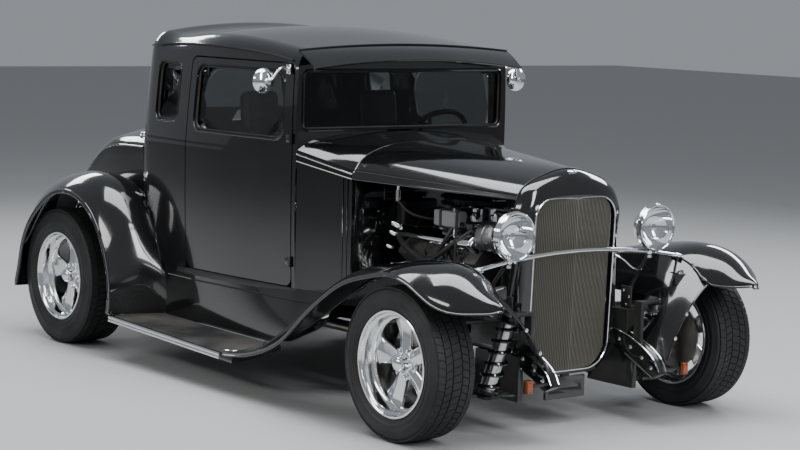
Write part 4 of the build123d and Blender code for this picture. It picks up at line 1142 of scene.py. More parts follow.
@dataclass
class Cab(Assembly):
    """Roof, pillars, doors and glass."""

    wall: float = 34.0
    side_cut: Point2 = (300.0, 900.0)
    # bulge of each end panel outside and inside, and the height of its middle
    back_dome: Point3 = (12.0, 6.0, 1250.0)
    screen_dome: Point3 = (5.0, 4.0, 1254.0)

    def side_y(self, x: float, z: float) -> float:
        """Half width of the cab's side at a station and height."""
        climb = cab_half(table_at(CAB, [x])[0])[:40]
        return float(np.interp(z, [p[1] for p in climb], [p[0] for p in climb]))

    def _sections(self) -> tuple[list[float], list[list[Point2]], list[float], list[list[Point2]]]:
        """Work out the wall's sections, with a domed panel at both ends.

        Returns:
            Stations and sections of its outer face, then those of its inner face.
        """
        main = np.concatenate([np.linspace(SCREEN_X, -2190, 78), np.linspace(-2200, BACK_X, 7)])
        rows = table_at(CAB, main)
        low, high = BACK_X + self.wall, SCREEN_X - 22
        outer_x = list(main)
        inner_x = [high + (x - SCREEN_X) / (BACK_X - SCREEN_X) * (low - high) for x in main]
        outer = [both_sides(cab_half(row)) for row in rows]
        inner = [both_sides(cab_half(row, self.wall)) for row in rows]
        ends = outer[0], inner[0], outer[-1], inner[-1]
        bulge, inner_bulge, middle = self.back_dome
        for turn in np.linspace(8, 87, 9):
            c, s = math.cos(math.radians(turn)), math.sin(math.radians(turn))
            outer_x.append(BACK_X - bulge * s)
            inner_x.append(low - inner_bulge * s)
            outer.append(shrunk(ends[2], c, middle))
            inner.append(shrunk(ends[3], c, middle))
        bulge, inner_bulge, middle = self.screen_dome
        for turn in np.linspace(8, 87, 7):
            c, s = math.cos(math.radians(turn)), math.sin(math.radians(turn))
            outer_x.insert(0, SCREEN_X + bulge * s)
            inner_x.insert(0, high + inner_bulge * s)
            outer.insert(0, shrunk(ends[0], c, middle))
            inner.insert(0, shrunk(ends[1], c, middle))
        return outer_x, outer, inner_x, inner

    def build(self) -> None:
        """Build the shell, cut the doors out of it and trim them."""
        outer_x, outer, inner_x, inner = self._sections()
        bench = self.bench
        shell = self.walled("cab_wall", outer_x, outer, inner_x, inner)
        skin = self.skin("cab_skin", outer_x, outer)
        for name, side in SIDES:
            door = bench.copy(shell, f"door_{name}_panel")
            bench.cut(door, self.side_cutter("door_block", DOOR, side, self.side_cut), keep_inside=True)
            bench.cut(door, self.side_cutter("window_block", DOOR_WINDOW, side, self.side_cut))
            bench.relight(door, skin)
            bench.finish(door, Finish.GLOSS_BLACK, f"door_{name}", body=f"door_{name}")
        for _, side in SIDES:
            bench.cut(shell, self.side_cutter("doorway_block", DOORWAY, side, self.side_cut))
            bench.cut(shell, self.side_cutter("window_block", QUARTER_WINDOW, side, self.side_cut))
        bench.cut(shell, self._end_cutter("screen_block", SCREEN_X, SCREEN))
        bench.cut(shell, self._end_cutter("rear_block", BACK_X, REAR_WINDOW))
        bench.cut(shell, bench.block("footwell_block", (160, 1060, 1100),
                                     self.spot(SCREEN_X, 0, SILL_Z), 1))
        bench.relight(shell, skin)
        bpy.data.objects.remove(skin)
        bench.finish(shell, Finish.GLOSS_BLACK, "cab_shell")
        for name, side in SIDES:
            self._side_trim(name, side)
        self._end_trim()
        self._visor()
        for node, body in (("window_glass", "chassis"), ("door_glass_left", "door_left"),
                           ("door_glass_right", "door_right")):
            bench.dressed(node, body, Finish.DARK_GLASS, angle=20)

    def _end_cutter(self, name: str, x: float, window: Sequence[float]) -> Piece:
        """Make a rounded block that cuts the windscreen or the rear window."""
        half_w, low, high, radius = window
        points = rounded(half_w, low, high, radius, radius, 9)
        return self.bench.plate(name, points, lambda a, b, d: (self.at.ahead(x) + d, a, b), (-80, 80))

    def _bead(self, name: str, places: Sequence[Point2], side: int, width: float, rise: float,
              closed: bool = False) -> Piece:
        """Lay a rounded bead on the cab's side along stations and heights."""
        path = [self.spot(x, side * (self.side_y(x, z) - 1), z) for x, z in places]
        half = [(rise * math.sin(a) * side * -1, width / 2 * math.cos(a))
                for a in np.linspace(0, math.pi, 7)]
        section = half + [(side * 1.5, -width / 2), (side * 1.5, width / 2)]
        return self.bench.sweep(name, np.array(path), section, closed=closed)

    def _side_trim(self, name: str, side: int) -> None:
        """Belt beads, drip rail and window frames of one side."""
        bench = self.bench
        runs = (("front", SCREEN_X - 2, DOORWAY[0], "chassis"),
                ("door", DOOR[0] - 2, DOOR[1] + 2, f"door_{name}"),
                ("rear", DOORWAY[1], BACK_X + 6, "chassis"))
        for part, front, rear, body in runs:
            beads = []
            for height in BELT_BEADS:
                count = max(3, int((front - rear) / 25))
                places = [(x, height) for x in np.linspace(front, rear, count)]
                beads.append(self._bead("bead", places, side, 11, 5.0))
            bench.fit(f"belt_{part}_{name}", beads, Finish.GLOSS_BLACK, body=body)
        self._drip_rail(name, side)
        for part, window, body in (("door", DOOR_WINDOW, f"door_{name}"),
                                   ("quarter", QUARTER_WINDOW, "chassis")):
            frame = self._bead(f"{part}_window_frame_{name}", self._window_line(window, 4), side, 9, 3.5,
                               closed=True)
            bench.finish(frame, Finish.GLOSS_BLACK, body=body)
            path = [self.spot(x, side * (self.side_y(x, z) - 13), z)
                    for x, z in self._window_line(window, -4)]
            seal = bench.sweep(f"{part}_window_seal_{name}", np.array(path), oval(8, 6, 5), closed=True,
                               up=(0, 1, 0))
            bench.finish(seal, Finish.HOSE, body=body)

    def _drip_rail(self, name: str, side: int) -> None:
        """The gutter over one side's doors and windows."""
        line = smooth_path(((-2172, 1436), (-2060, 1447), (-1851, 1457), (-1604, 1457), (-1366, 1447),
                            (-1180, 1432), (-1060, 1416)), 60)
        gutter = np.array([self.spot(x, side * (self.side_y(x, z) - 1), z) for x, z in line])
        lips = ((-3, -3), (6, -3), (10, -1), (11, 5), (8.5, 5.5), (7.5, 1), (-3, 1))
        rail = self.bench.sweep(f"drip_rail_{name}", gutter, [(-side * v, w) for v, w in lips])
        self.bench.finish(rail, Finish.GLOSS_BLACK)

    def _window_line(self, window: Sequence[float], grow: float) -> list[Point2]:
        """Outline of a side window, made larger all round, as stations and heights."""
        front, rear, low, high, radius = window
        middle = (front + rear) / 2
        outline = rounded((front - rear) / 2 + grow, low - grow, high + grow, radius + grow, radius + grow,
                          9)
        return self._dense([(middle + a, b) for a, b in outline])

    @staticmethod
    def _dense(outline: Sequence[Point2], step: float = 24.0) -> list[Point2]:
        """Add points to an outline's long straight runs."""
        points: list[Point2] = []
        for (x1, y1), (x2, y2) in zip(outline, list(outline[1:]) + [outline[0]]):
            pieces = max(1, int(math.hypot(x2 - x1, y2 - y1) / step))
            points += [(x1 + (x2 - x1) * i / pieces, y1 + (y2 - y1) * i / pieces) for i in range(pieces)]
        return points

    def _end_trim(self) -> None:
        """Frames and seals of the windscreen and the rear window."""
        bench = self.bench
        for name, x, way, window, dome in (("screen", SCREEN_X, 1, SCREEN, self.screen_dome[0]),
                                           ("rear", BACK_X, -1, REAR_WINDOW, self.back_dome[0])):
            half_w, low, high, radius = window
            outline = self._dense(rounded(half_w - 3, low + 3, high - 3, radius - 3, radius - 3, 9))
            path = np.array([(self.at.ahead(x) + way * (dome * 0.9 - 1), y, z) for y, z in outline])
            frame = bench.sweep(f"{name}_frame", path, oval(10, 5.5, 6.5), up=(1, 0, 0), closed=True)
            bench.finish(frame, Finish.GLOSS_BLACK)
            inner = self._dense(rounded(half_w - 9, low + 9, high - 9, radius - 8, radius - 8, 9))
            path = np.array([(self.at.ahead(x) - way * 10, y, z) for y, z in inner])
            seal = bench.sweep(f"{name}_seal", path, oval(10, 6, 6), up=(1, 0, 0), closed=True)
            bench.finish(seal, Finish.HOSE)

    def _visor(self) -> None:
        """The peak over the windscreen with its rolled edge."""
        bench, rows, edge = self.bench, [], []
        for t in np.linspace(0, 1, 9):
            x = SCREEN_X + t * 111
            half_w = 574 - 4 * t
            swell = math.sin(math.pi * t)
            z_end, z_mid = 1462 - 70 * t + 6 * swell, 1486 - 58 * t + 8 * swell
            thick = 12 - 5 * (t + 0.10 * swell)
            top = arc((-half_w, z_end), (0, z_mid), (half_w, z_end), 41)
            low = arc((-half_w, z_end - thick), (0, z_mid - thick), (half_w, z_end - thick), 41)
            rows.append([self.spot(x, y, z) for y, z in top + low[::-1]])
            edge = top
        piece = bench.sheet("visor_panel", np.array(rows), close=True)
        bench.close_ends(piece)
        bench.soften(bench.tidy(piece))
        bench.finish(piece, Finish.GLOSS_BLACK, "visor")
        roll = bench.rod("visor_edge", [(self.at.ahead(-912) + 1, y, z - 4) for y, z in edge], 5, 10)
        bench.finish(roll, Finish.GLOSS_BLACK)
        root = arc((-573, 1461), (0, 1487), (573, 1461), 41)
        joint = bench.rod("visor_root", [(self.at.ahead(SCREEN_X) + 3, y, z + 1) for y, z in root], 4, 8)
        bench.finish(joint, Finish.GLOSS_BLACK)


@dataclass
class Nose(Assembly):
    """Cowl, hood top, grille shell and grille."""

    shell_z: float = 590.0
    grille_half: float = 210.0
    hood_span: Point2 = (-786.0, 36.0)

    def _crowned(self, name: str, rear: Sequence[float], front: Sequence[float], x_range: Point2,
                 thickness: float, foot: float | None, count: int) -> Piece:
        """Make a crowned wall between two sections."""
        a, b = np.array(rear, float), np.array(front, float)
        stations = np.linspace(*x_range, count)
        rows = [a + (x - a[0]) / (b[0] - a[0]) * (b - a) for x in stations]
        outer = [both_sides(crowned_half(row, 0, foot)) for row in rows]
        inner = [both_sides(crowned_half(row, thickness, foot)) for row in rows]
        piece = self.walled(name, stations, outer, stations, inner)
        return self.bench.soften(piece, 28)

    def _section_line(self, row: Sequence[float], x: float, lift: float = 0.0,
                      foot: float | None = None) -> list[Point3]:
        """Trace a section's outer line across the car."""
        return [self.spot(x, y, z + lift) for y, z in both_sides(crowned_half(row, 0, foot))]

    def build(self) -> None:
        """Build the cowl, the hood and the grille."""
        bench = self.bench
        cowl = self._crowned("cowl_panel", SCREEN_ROW, COWL_ROW, (-1022, -795), 20, SILL_Z, 14)
        bench.finish(cowl, Finish.GLOSS_BLACK, "cowl")
        self._firewall()
        hood = self._crowned("hood_panel", COWL_ROW, HOOD_ROW, (-789, 39), 8, None, 40)
        bench.finish(hood, Finish.GLOSS_BLACK, "hood_top")
        seam = bench.rod("hood_rear_seam", self._section_line(COWL_ROW, -791.5, -1.5), 3.2, 8)
        bench.finish(seam, Finish.GLOSS_BLACK)
        lace = bench.rod("hood_front_seam", self._section_line(HOOD_ROW, 41, -2.0), 3.0, 8)
        bench.finish(lace, Finish.HOSE)
        for name, side in SIDES:
            shoulder = bench.rod(f"hood_shoulder_{name}", self._hood_line(3, side, 1), 3.5, 8)
            bench.finish(shoulder, Finish.GLOSS_BLACK)
            hem = bench.rod(f"hood_hem_{name}", self._hood_line(1, side, 3), 4.5, 8)
            bench.finish(hem, Finish.GLOSS_BLACK)
            self._cowl_trim(name, side)
        self._shell()
        self._grille()
    def _hood_line(self, column: int, side: int, inset: float) -> list[Point3]:
        """Trace one point of the hood's sections along its side.

        Args:
            column: where the point's y stands in a section, with its z after it.
            side: 1 for the left, -1 for the right.
            inset: how far the line is moved inwards.

        Returns:
            The line's points.
        """
        rear, front = np.array(COWL_ROW[column:column + 2]), np.array(HOOD_ROW[column:column + 2])
        line = []
        for t, x in zip(np.linspace(0, 1, 24), np.linspace(*self.hood_span, 24)):
            y, z = rear + (front - rear) * t
            line.append(self.spot(x, side * (y - inset), z))
        return line

    def _cowl_trim(self, name: str, side: int) -> None:
        """The belt beads that run on over the cowl's side, and its upright beads."""
        bench, beads = self.bench, []
        for rear_z, front_z, inset in zip(BELT_BEADS, (950, 930), (0, 1.5)):
            line = []
            for t in np.linspace(0, 1, 12):
                y = SCREEN_ROW[1] + t * (COWL_ROW[1] - SCREEN_ROW[1]) - inset
                line.append(self.spot(-1022 + t * 226, side * (y - 2), rear_z + (front_z - rear_z) * t))
            beads.append(bench.rod("bead", line, 5.0, 10))
        bench.fit(f"cowl_belt_{name}", beads, Finish.GLOSS_BLACK)
        edge = [self.spot(-797, side * (441 + 8 * t), SILL_Z + 6 + (925 - SILL_Z) * t)
                for t in np.linspace(0, 1, 10)]
        posts = [bench.rod("post", edge, 5, 10)]
        for step in (18, 36):
            posts.append(bench.rod("post", [(x - step, y + side * 0.56 * step, z) for x, y, z in edge], 3,
                                   8))
        bench.fit(f"cowl_beads_{name}", posts, Finish.GLOSS_BLACK)

    def _firewall(self) -> None:
        """The wall behind the engine, with pressed panels."""
        bench, x = self.bench, self.at.ahead(FIREWALL_X)
        outline = [(-438, SILL_Z + 2), (438, SILL_Z + 2), (428, 964)]
        outline += arc((328, 1036), (0, 1068), (-328, 1036), 15) + [(-428, 964)]
        plate = bench.plate("firewall_plate", outline, lambda a, b, d: (x + d, a, b), (-12, 0), 1.5)
        panels = [plate]
        for y, w in ((-290, 200), (0, 300), (290, 200)):
            panels.append(bench.block("pressing", (6, w, 330), (x + 1, y, 640), 2.5))
        bench.fit("firewall", panels, Finish.GLOSS_BLACK)

    def _outline_radius(self, points: Sequence[Point2], angles: np.ndarray) -> np.ndarray:
        """Distance from the grille's middle to an outline, for each angle."""
        rows = np.array(Cab._dense(list(points), 6.0), float)
        turn = np.arctan2(rows[:, 1] - self.shell_z, rows[:, 0])
        far = np.hypot(rows[:, 0], rows[:, 1] - self.shell_z)
        order = np.argsort(turn)
        return np.interp(angles, turn[order], far[order], period=2 * math.pi)

    @staticmethod
    def _shell_outline(row: Sequence[float]) -> list[Point2]:
        """Outline of the grille shell at one section."""
        y0, z0, y1, z1, y2, z2, y3, z3, y4, z4, z5 = row
        top = smooth_path([(y2, z2), (y3, z3), (y4, z4), (0, z5), (-y4, z4), (-y3, z3), (-y2, z2)], 61)
        side = smooth_path([(y0, z0), (y0 + (y1 - y0) * 0.62, z0 + 30), (y1, z1),
                            ((y1 + y2) / 2 + 2, (z1 + z2) / 2), (y2, z2)], 24)[:-1]
        return [tuple(p) for p in side] + [tuple(p) for p in top] + [(-p[0], p[1]) for p in side[::-1]]

    def _shell(self) -> None:
        """The painted surround of the grille, round towards the front like a helmet."""
        bench = self.bench
        angles = np.linspace(-math.pi, math.pi, 160, endpoint=False)
        opening = self._outline_radius(rounded(214, 220, 924, 114, 82, 10), angles)
        back = self._outline_radius(self._shell_outline(SHELL[0, 1:]), angles)
        front = self._outline_radius(self._shell_outline(SHELL[1, 1:]), angles)
        rows = []

        def ring(x: float, radius: np.ndarray) -> None:
            """Add one ring of points around the grille."""
            rows.append([self.spot(x, r * math.cos(a), self.shell_z + r * math.sin(a))
                         for a, r in zip(angles, radius)])

        ring(50, back - 12)
        ring(50, back - 1.5)
        ring(51.5, back)
        for turn in np.linspace(4, 74, 11):
            shrink = 1 - math.cos(math.radians(turn))
            ring(51 + 64 * math.sin(math.radians(turn)), back + (front - back) * shrink / 0.78)
        ring(117.0, front + (opening - front) * 0.35)
        ring(119.0, front + (opening - front) * 0.7)
        ring(119.6, opening + 3)
        ring(117.5, opening)
        ring(94, opening - 1)
        ring(90, opening + 12)
        ring(100, front - 8)
        ring(76, front + (back - front) * 0.6 - 10)
        shell = bench.sheet("shell_ring", np.array(rows + [rows[0]]), close=True)
        bench.soften(bench.tidy(shell, 2e-5), 50)
        bench.finish(self._leaned(shell), Finish.GLOSS_BLACK, "grille_shell")
        cap = bench.turned("radiator_cap", [(0, 0), (20, 0), (22, 3), (22, 9), (17, 14), (9, 16), (0, 17)],
                           self.spot(74, 0, 1016), "Z", 32)
        bench.finish(self._leaned(cap), Finish.CHROME)

    def _leaned(self, piece: Piece) -> Piece:
        """Set a piece of the grille back and lean it, its top ahead of its foot."""
        pivot = Vector(self.spot(SHELL[0, 0], 0, SHELL_PIVOT_Z)) * MM
        back = Matrix.Translation(pivot - Vector((SHELL_SETBACK, 0, 0)) * MM)
        lean = Matrix.Rotation(math.radians(SHELL_LEAN), 4, "Y")
        piece.data.transform(back @ lean @ Matrix.Translation(-pivot))
        return piece

    def _grille(self) -> None:
        """Upright bars in a shallow V, their bands and the bright trim. The bars' chrome is dulled and
        darkened in colour as a painted dark reflection.
        """
        bench, bars = self.bench, []
        half_w, count = self.grille_half, 49
        pitch = 2 * half_w / (count + 1)

        def edge_z(y: float) -> Point2:
            """Lower and upper end of a bar."""
            foot = 112 - math.sqrt(max(112 ** 2 - max(0.0, abs(y) - 98) ** 2, 0))
            top = 80 - math.sqrt(max(80 ** 2 - max(0.0, abs(y) - 130) ** 2, 0))
            return 226 + foot, 918 - top

        for index in range(count):
            y = -half_w + pitch * (index + 1)
            x = self.at.ahead(96) + 26 * (1 - abs(y) / half_w)
            low, high = edge_z(y)
            wide = 3.6 if index != count // 2 else 5.0
            shape = [(-wide / 2, -6), (wide / 2, -6), (wide / 2, 3), (wide / 4, 7), (-wide / 4, 7),
                     (-wide / 2, 3)]
            path = np.array([(x, y, z) for z in np.linspace(low, high, 3)])
            bars.append(bench.sweep("bar", path, [(-b, a) for a, b in shape], up=(0, 1, 0)))
        for z in (452, 804):
            for side in (-1, 1):
                line = [(self.at.ahead(90) + 26 * (1 - t), side * 208 * t, z) for t in (0, 0.5, 1)]
                bars.append(bench.rod("band", line, 5, 8))
        # the bars' dull dark chrome colour is painted shade, a painted dark reflection
        bench.finish(self._leaned(bench.joined("grille_bars", bars)), Finish.GRILLE_BARS, "grille_insert")
        trim_line = Cab._dense(rounded(214, 221, 923, 115, 83, 12), 14.0)
        path = np.array([self.spot(119, y, z - (7 * math.exp(-(y / 13) ** 2) if z > 900 else 0))
                         for y, z in trim_line])
        trim = bench.sweep("grille_trim", path, oval(10, 3.6, 3.2), up=(1, 0, 0), closed=True)
        bench.finish(self._leaned(trim), Finish.CHROME)


@dataclass
class Fenders(Assembly):
    """Front and rear fenders with their lips, welts and inner walls."""

    def strip_section(self, lip: Point2, crown: Point2, inner: Point2) -> list[Point2]:
        """Closed section of a fender: outer y and height of its lip, crown and inner edge."""
        outer = arc(lip, crown, inner, 27)
        core = arc((lip[0] - 7, lip[1] - 7), (crown[0], crown[1] - 7), (inner[0], inner[1] - 7), 27)
        skirt = [(lip[0], lip[1] - 16), (lip[0], lip[1] - 8)]
        return skirt + outer + list(reversed(core)) + [(lip[0] - 7, lip[1] - 16)]

    def _ribbon(self, name: str, rows: np.ndarray) -> Piece:
        """Join a fender's sections and close its ends."""
        piece = self.bench.sheet(name, rows, close=True)
        self.bench.close_ends(piece)
        return self.bench.soften(self.bench.tidy(piece), 38)

    def build(self) -> None:
        """Build both pairs of fenders."""
        self._front()
        self._valance()
        self._rear()

    def _front(self) -> None:
        """Front fender: the crowned strip and the rolled edge around it."""
        stations = np.concatenate([np.linspace(-1150, 340, 84), np.linspace(350, 458, 16)])
        rows, lip_line, inner_line = [], [], []
        for x, (yl, zl, yc, zc, yi, zi) in zip(stations, table_at(FRONT_FENDER, stations)):
            section = self.strip_section((yl, zl), (yc, zc), (yi, zi))
            rows.append([self.spot(x, -y, z) for y, z in section])
            lip_line.append(self.spot(x, -yl + 1, zl - 14))
            inner_line.append(self.spot(x, -yi, zi - 4))
        fender = self._ribbon("front_fender", np.array(rows))
        self.bench.cut(fender, self._heel_block())
        self.bench.soften(fender, 38)
        heel = [self.spot(x, -y, 176 + 0.13 * (850 - y) + 3) for x, y in smooth_path(HEEL, 24)[2:-3]]
        self.pair("board_heel", [self.bench.rod("heel", heel, 2.4, 8)], Finish.POLISHED)
        nose = [self.spot(457, -yl, 556) for yl in (690, 681, 672)]
        edge = lip_line + nose + list(reversed(inner_line[-10:]))
        roll = self.bench.rod("front_lip", edge[::2], 4.5, 10)
        seam = self.bench.rod("front_seam", inner_line[::2], 4.0, 8)
        self.pair("front_fender", [fender], Finish.GLOSS_BLACK, "front_fender")
        self.pair("front_fender_edge", [roll, seam], Finish.GLOSS_BLACK)

    def _heel_block(self) -> Piece:
        """Make the block behind the arc where the fender ends on the running board."""
        outline = list(smooth_path(HEEL, 30)) + [(-1300.0, 560.0), (-1300.0, 900.0)]
        return self.bench.plate("heel_block", outline, lambda a, b, d: self.spot(a, -b, d), (120, 260))

    def _valance(self) -> None:
        """Inner wall of the front wheel house down to the frame, with a hole for the arms."""
        stations = np.linspace(-700, 316, 70)
        rows, front = [], []
        for x, row in zip(stations, table_at(VALANCE, stations)):
            upper, middle, lower = row[:2], row[2:4], row[4:]
            pull = 2 * middle - (upper + lower) / 2
            lean = 26.0 * max(0.0, (x - 100) / 216) ** 2
            outer = []
            for t in np.linspace(0, 1, 18):
                y, z = (1 - t) ** 2 * upper + 2 * t * (1 - t) * pull + t ** 2 * lower
                outer.append(self.spot(x + lean * (t - 0.5), -y, z))
            rows.append(outer + [(px, py + 5, pz) for px, py, pz in reversed(outer)])
            front = outer
        wall = self._ribbon("valance", np.array(rows))
        hole = self.bench.block("arch_block", (334, 240, 94), self.spot(47, -430, 455), 40, segments=5)
        self.bench.cut(wall, hole)
        self.bench.soften(wall, 30)
        bead = self.bench.rod("valance_bead", [(x, y + 2, z) for x, y, z in front], 4, 10)
        self.pair("inner_fender", [wall, bead], Finish.GLOSS_BLACK)
        spots = [(front[i][0] + 4, front[i][1] + 2, front[i][2]) for i in (8, 13)]
        self.pair("inner_fender_bolts", [self.bench.bolts("bolts", spots, 6, 5, "X")], Finish.CHROME)

    def _rear_point(self, angle: float, y: float, radius: float) -> Point3:
        """Place a point of the rear fender by its angle about the rear axle."""
        turn = math.radians(angle)
        return (self.at.rear_axle + radius * math.cos(turn), -y, self.at.rear_r + radius * math.sin(turn))

    @staticmethod
    def _body_y(station: float, z: float) -> float:
        """Half width of the cab or deck where a rear fender meets it."""
        if station > BACK_X:
            y_sill, y_belt, z_belt = table_at(CAB, [station])[0][:3]
            return float(np.interp(z, (SILL_Z, z_belt), (y_sill, y_belt))) + 3
        y_foot, y_top, z_top = table_at(DECK, [max(station, -2924.0)])[0][:3]
        return float(np.interp(z, (SILL_Z, z_top), (y_foot, y_top)))

    def _rear(self) -> None:
        """Rear fender: crowned strip, doubled lip bead and the welt along the body."""
        angles = np.linspace(-12, 194, 110)
        rows, lips, second, welt = [], [], [], []
        for angle, (lip, crown, joint) in zip(angles, table_at(REAR_FENDER, angles)):
            section = self.strip_section((858, lip), (775, crown), (560, joint))
            rows.append([self._rear_point(angle, y, r) for y, r in section])
            lips.append(self._rear_point(angle, 856, lip - 15))
            second.append(self._rear_point(angle, 857, lip + 3))
            for y, r in section[2:29]:
                x, _, z = self._rear_point(angle, y, r)
                station = x - self.at.front_axle
                if y <= self._body_y(station, z) + 3 and z > SILL_Z:
                    welt.append((x, -y, z + 1))
                    break
        fender = self._ribbon("rear_fender", np.array(rows))
        beads = [self.bench.rod("lip", lips[::2], 4.5, 10), self.bench.rod("second", second[::2], 3.0, 8)]
        if len(welt) > 4:
            beads.append(self.bench.rod("welt", smooth_path(welt[::3], 70), 5.0, 10))
        self.pair("rear_fender", [fender], Finish.GLOSS_BLACK, "rear_fender")
        self.pair("rear_fender_beads", beads, Finish.GLOSS_BLACK)


@dataclass
class Sides(Assembly):
    """Running boards with their mats and trims, and the splash aprons."""

    apron_top: float = 446.0

    def _top(self, x: float, y: float) -> float:
        """Height of the board's top."""
        t = (x + 2112) / (2112 - 1146)
        outer, inner = 204 - 34 * t, 210 - 9 * t
        return inner + (outer - inner) * (y - 600) / 250

    def build(self) -> None:
        """Build the right side and mirror it."""
        bench = self.bench
        xs = np.linspace(-1072, -2098, 42)
        rows = []
        for x in xs:
            rim, root = self._top(x, 850), self._top(x, 600)
            top = [(y, self._top(x, y)) for y in (604, 640, 700, 760, 820, 842)]
            low = [(848, rim - 6), (850, rim - 12), (850, rim - 26), (842, rim - 30), (604, root - 24),
                   (600, root - 20), (600, root - 4)]
            rows.append([self.spot(x, -y, z) for y, z in top + low])
        board = bench.sheet("board", np.array(rows), close=True)
        bench.close_ends(board)
        bench.soften(bench.tidy(board), 40)
        self.pair("board", [board, self._apron()], Finish.GLOSS_BLACK, "running_board")
        self.pair("board_mat", [self._mat()], Finish.MAT)
        self.pair("board_trim", self._trims(), Finish.POLISHED)

    @staticmethod
    def _apron_side(x: float) -> Point2:
        """Half width of the apron's top and of its foot at a station."""
        return (float(np.interp(-x, (790, 1020, 1770, 2040), (500, 566, 614, 606))),
                float(np.interp(-x, (790, 820, 1000, 2040), (566, 596, 600, 602))))

    def _apron(self) -> Piece:
        """Splash apron from the board up to the sill, with its pressed line."""
        xs = np.linspace(-790, -2040, 60)
        rows = []
        for x in xs:
            foot = float(np.interp(-x, (790, 820, 1000, 1150, 2040), (330, 300, 226, 206, 196)))
            out, toe = self._apron_side(x)
            outer = []
            for t in np.linspace(0, 1, 13):
                outer.append((toe + (out - toe) * t ** 1.5, foot + (self.apron_top - foot) * t))
            rows.append([self.spot(x, -y, z) for y, z in outer]
                        + [self.spot(x, -(y - 6), z) for y, z in reversed(outer)])
        apron = self.bench.sheet("apron", np.array(rows), close=True)
        self.bench.close_ends(apron)
        self.bench.soften(self.bench.tidy(apron), 40)
        line = []
        for x in xs[2:-2:2]:
            out, toe = self._apron_side(x)
            line.append(self.spot(x, -(toe + (out - toe) * 0.62 + 0.5), 398))
        bead = self.bench.rod("apron_line", line, 4.0, 8)
        return self.bench.joined("apron", [apron, bead])

    def _mat(self) -> Piece:
        """Ribbed rubber mat on the board."""
        half, ribs = [], 21
        for index in range(ribs):
            y = 618 + index * (216 / ribs)
            half += [(y, 1.2), (y + 1.2, 3.6), (y + 5.2, 3.6), (y + 6.4, 1.2)]
        rows = []
        for x in (-1080, -1160, -1450, -1750, -2060, -2074):
            line = [(y, self._top(x, y) + rise) for y, rise in half]
            under = [(834, self._top(x, 834) - 2), (618, self._top(x, 618) - 2)]
            rows.append([self.spot(x, -y, z) for y, z in line + under])
        mat = self.bench.sheet("mat", np.array(rows), close=True)
        self.bench.tidy(self.bench.close_ends(mat))
        outline = [(x - 4, y) for x, y in smooth_path(HEEL, 30)] + [(-2200.0, 560.0), (-2200.0, 900.0)]
        area = self.bench.plate("mat_area", outline, lambda a, b, d: self.spot(a, -b, d), (120, 300))
        return self.bench.soften(self.bench.cut(mat, area, keep_inside=True), 30)

    def _trims(self) -> list[Piece]:
        """Double-ribbed edge and the thin strip along the body."""
        pieces = []
        ribs = [(-3, -16), (1, -16), (3.5, -13), (4.5, -9), (3.5, -5), (1.2, -2), (3.5, 1), (4.5, 5),
                (3.5, 9), (1, 12), (-3, 13)]
        path = np.array([self.spot(x, -850, self._top(x, 850) - 11) for x in np.linspace(-1168, -2096, 12)])
        pieces.append(self.bench.sweep("edge", path, [(-a, b) for a, b in ribs]))
        strip = np.array([self.spot(x, -609, self._top(x, 609) + 1) for x in (-1150, -1430, -1740, -2070)])
        pieces.append(self.bench.sweep("strip", strip, [(-5, -1), (5, -1), (4, 2.5), (-4, 2.5)]))
        return pieces


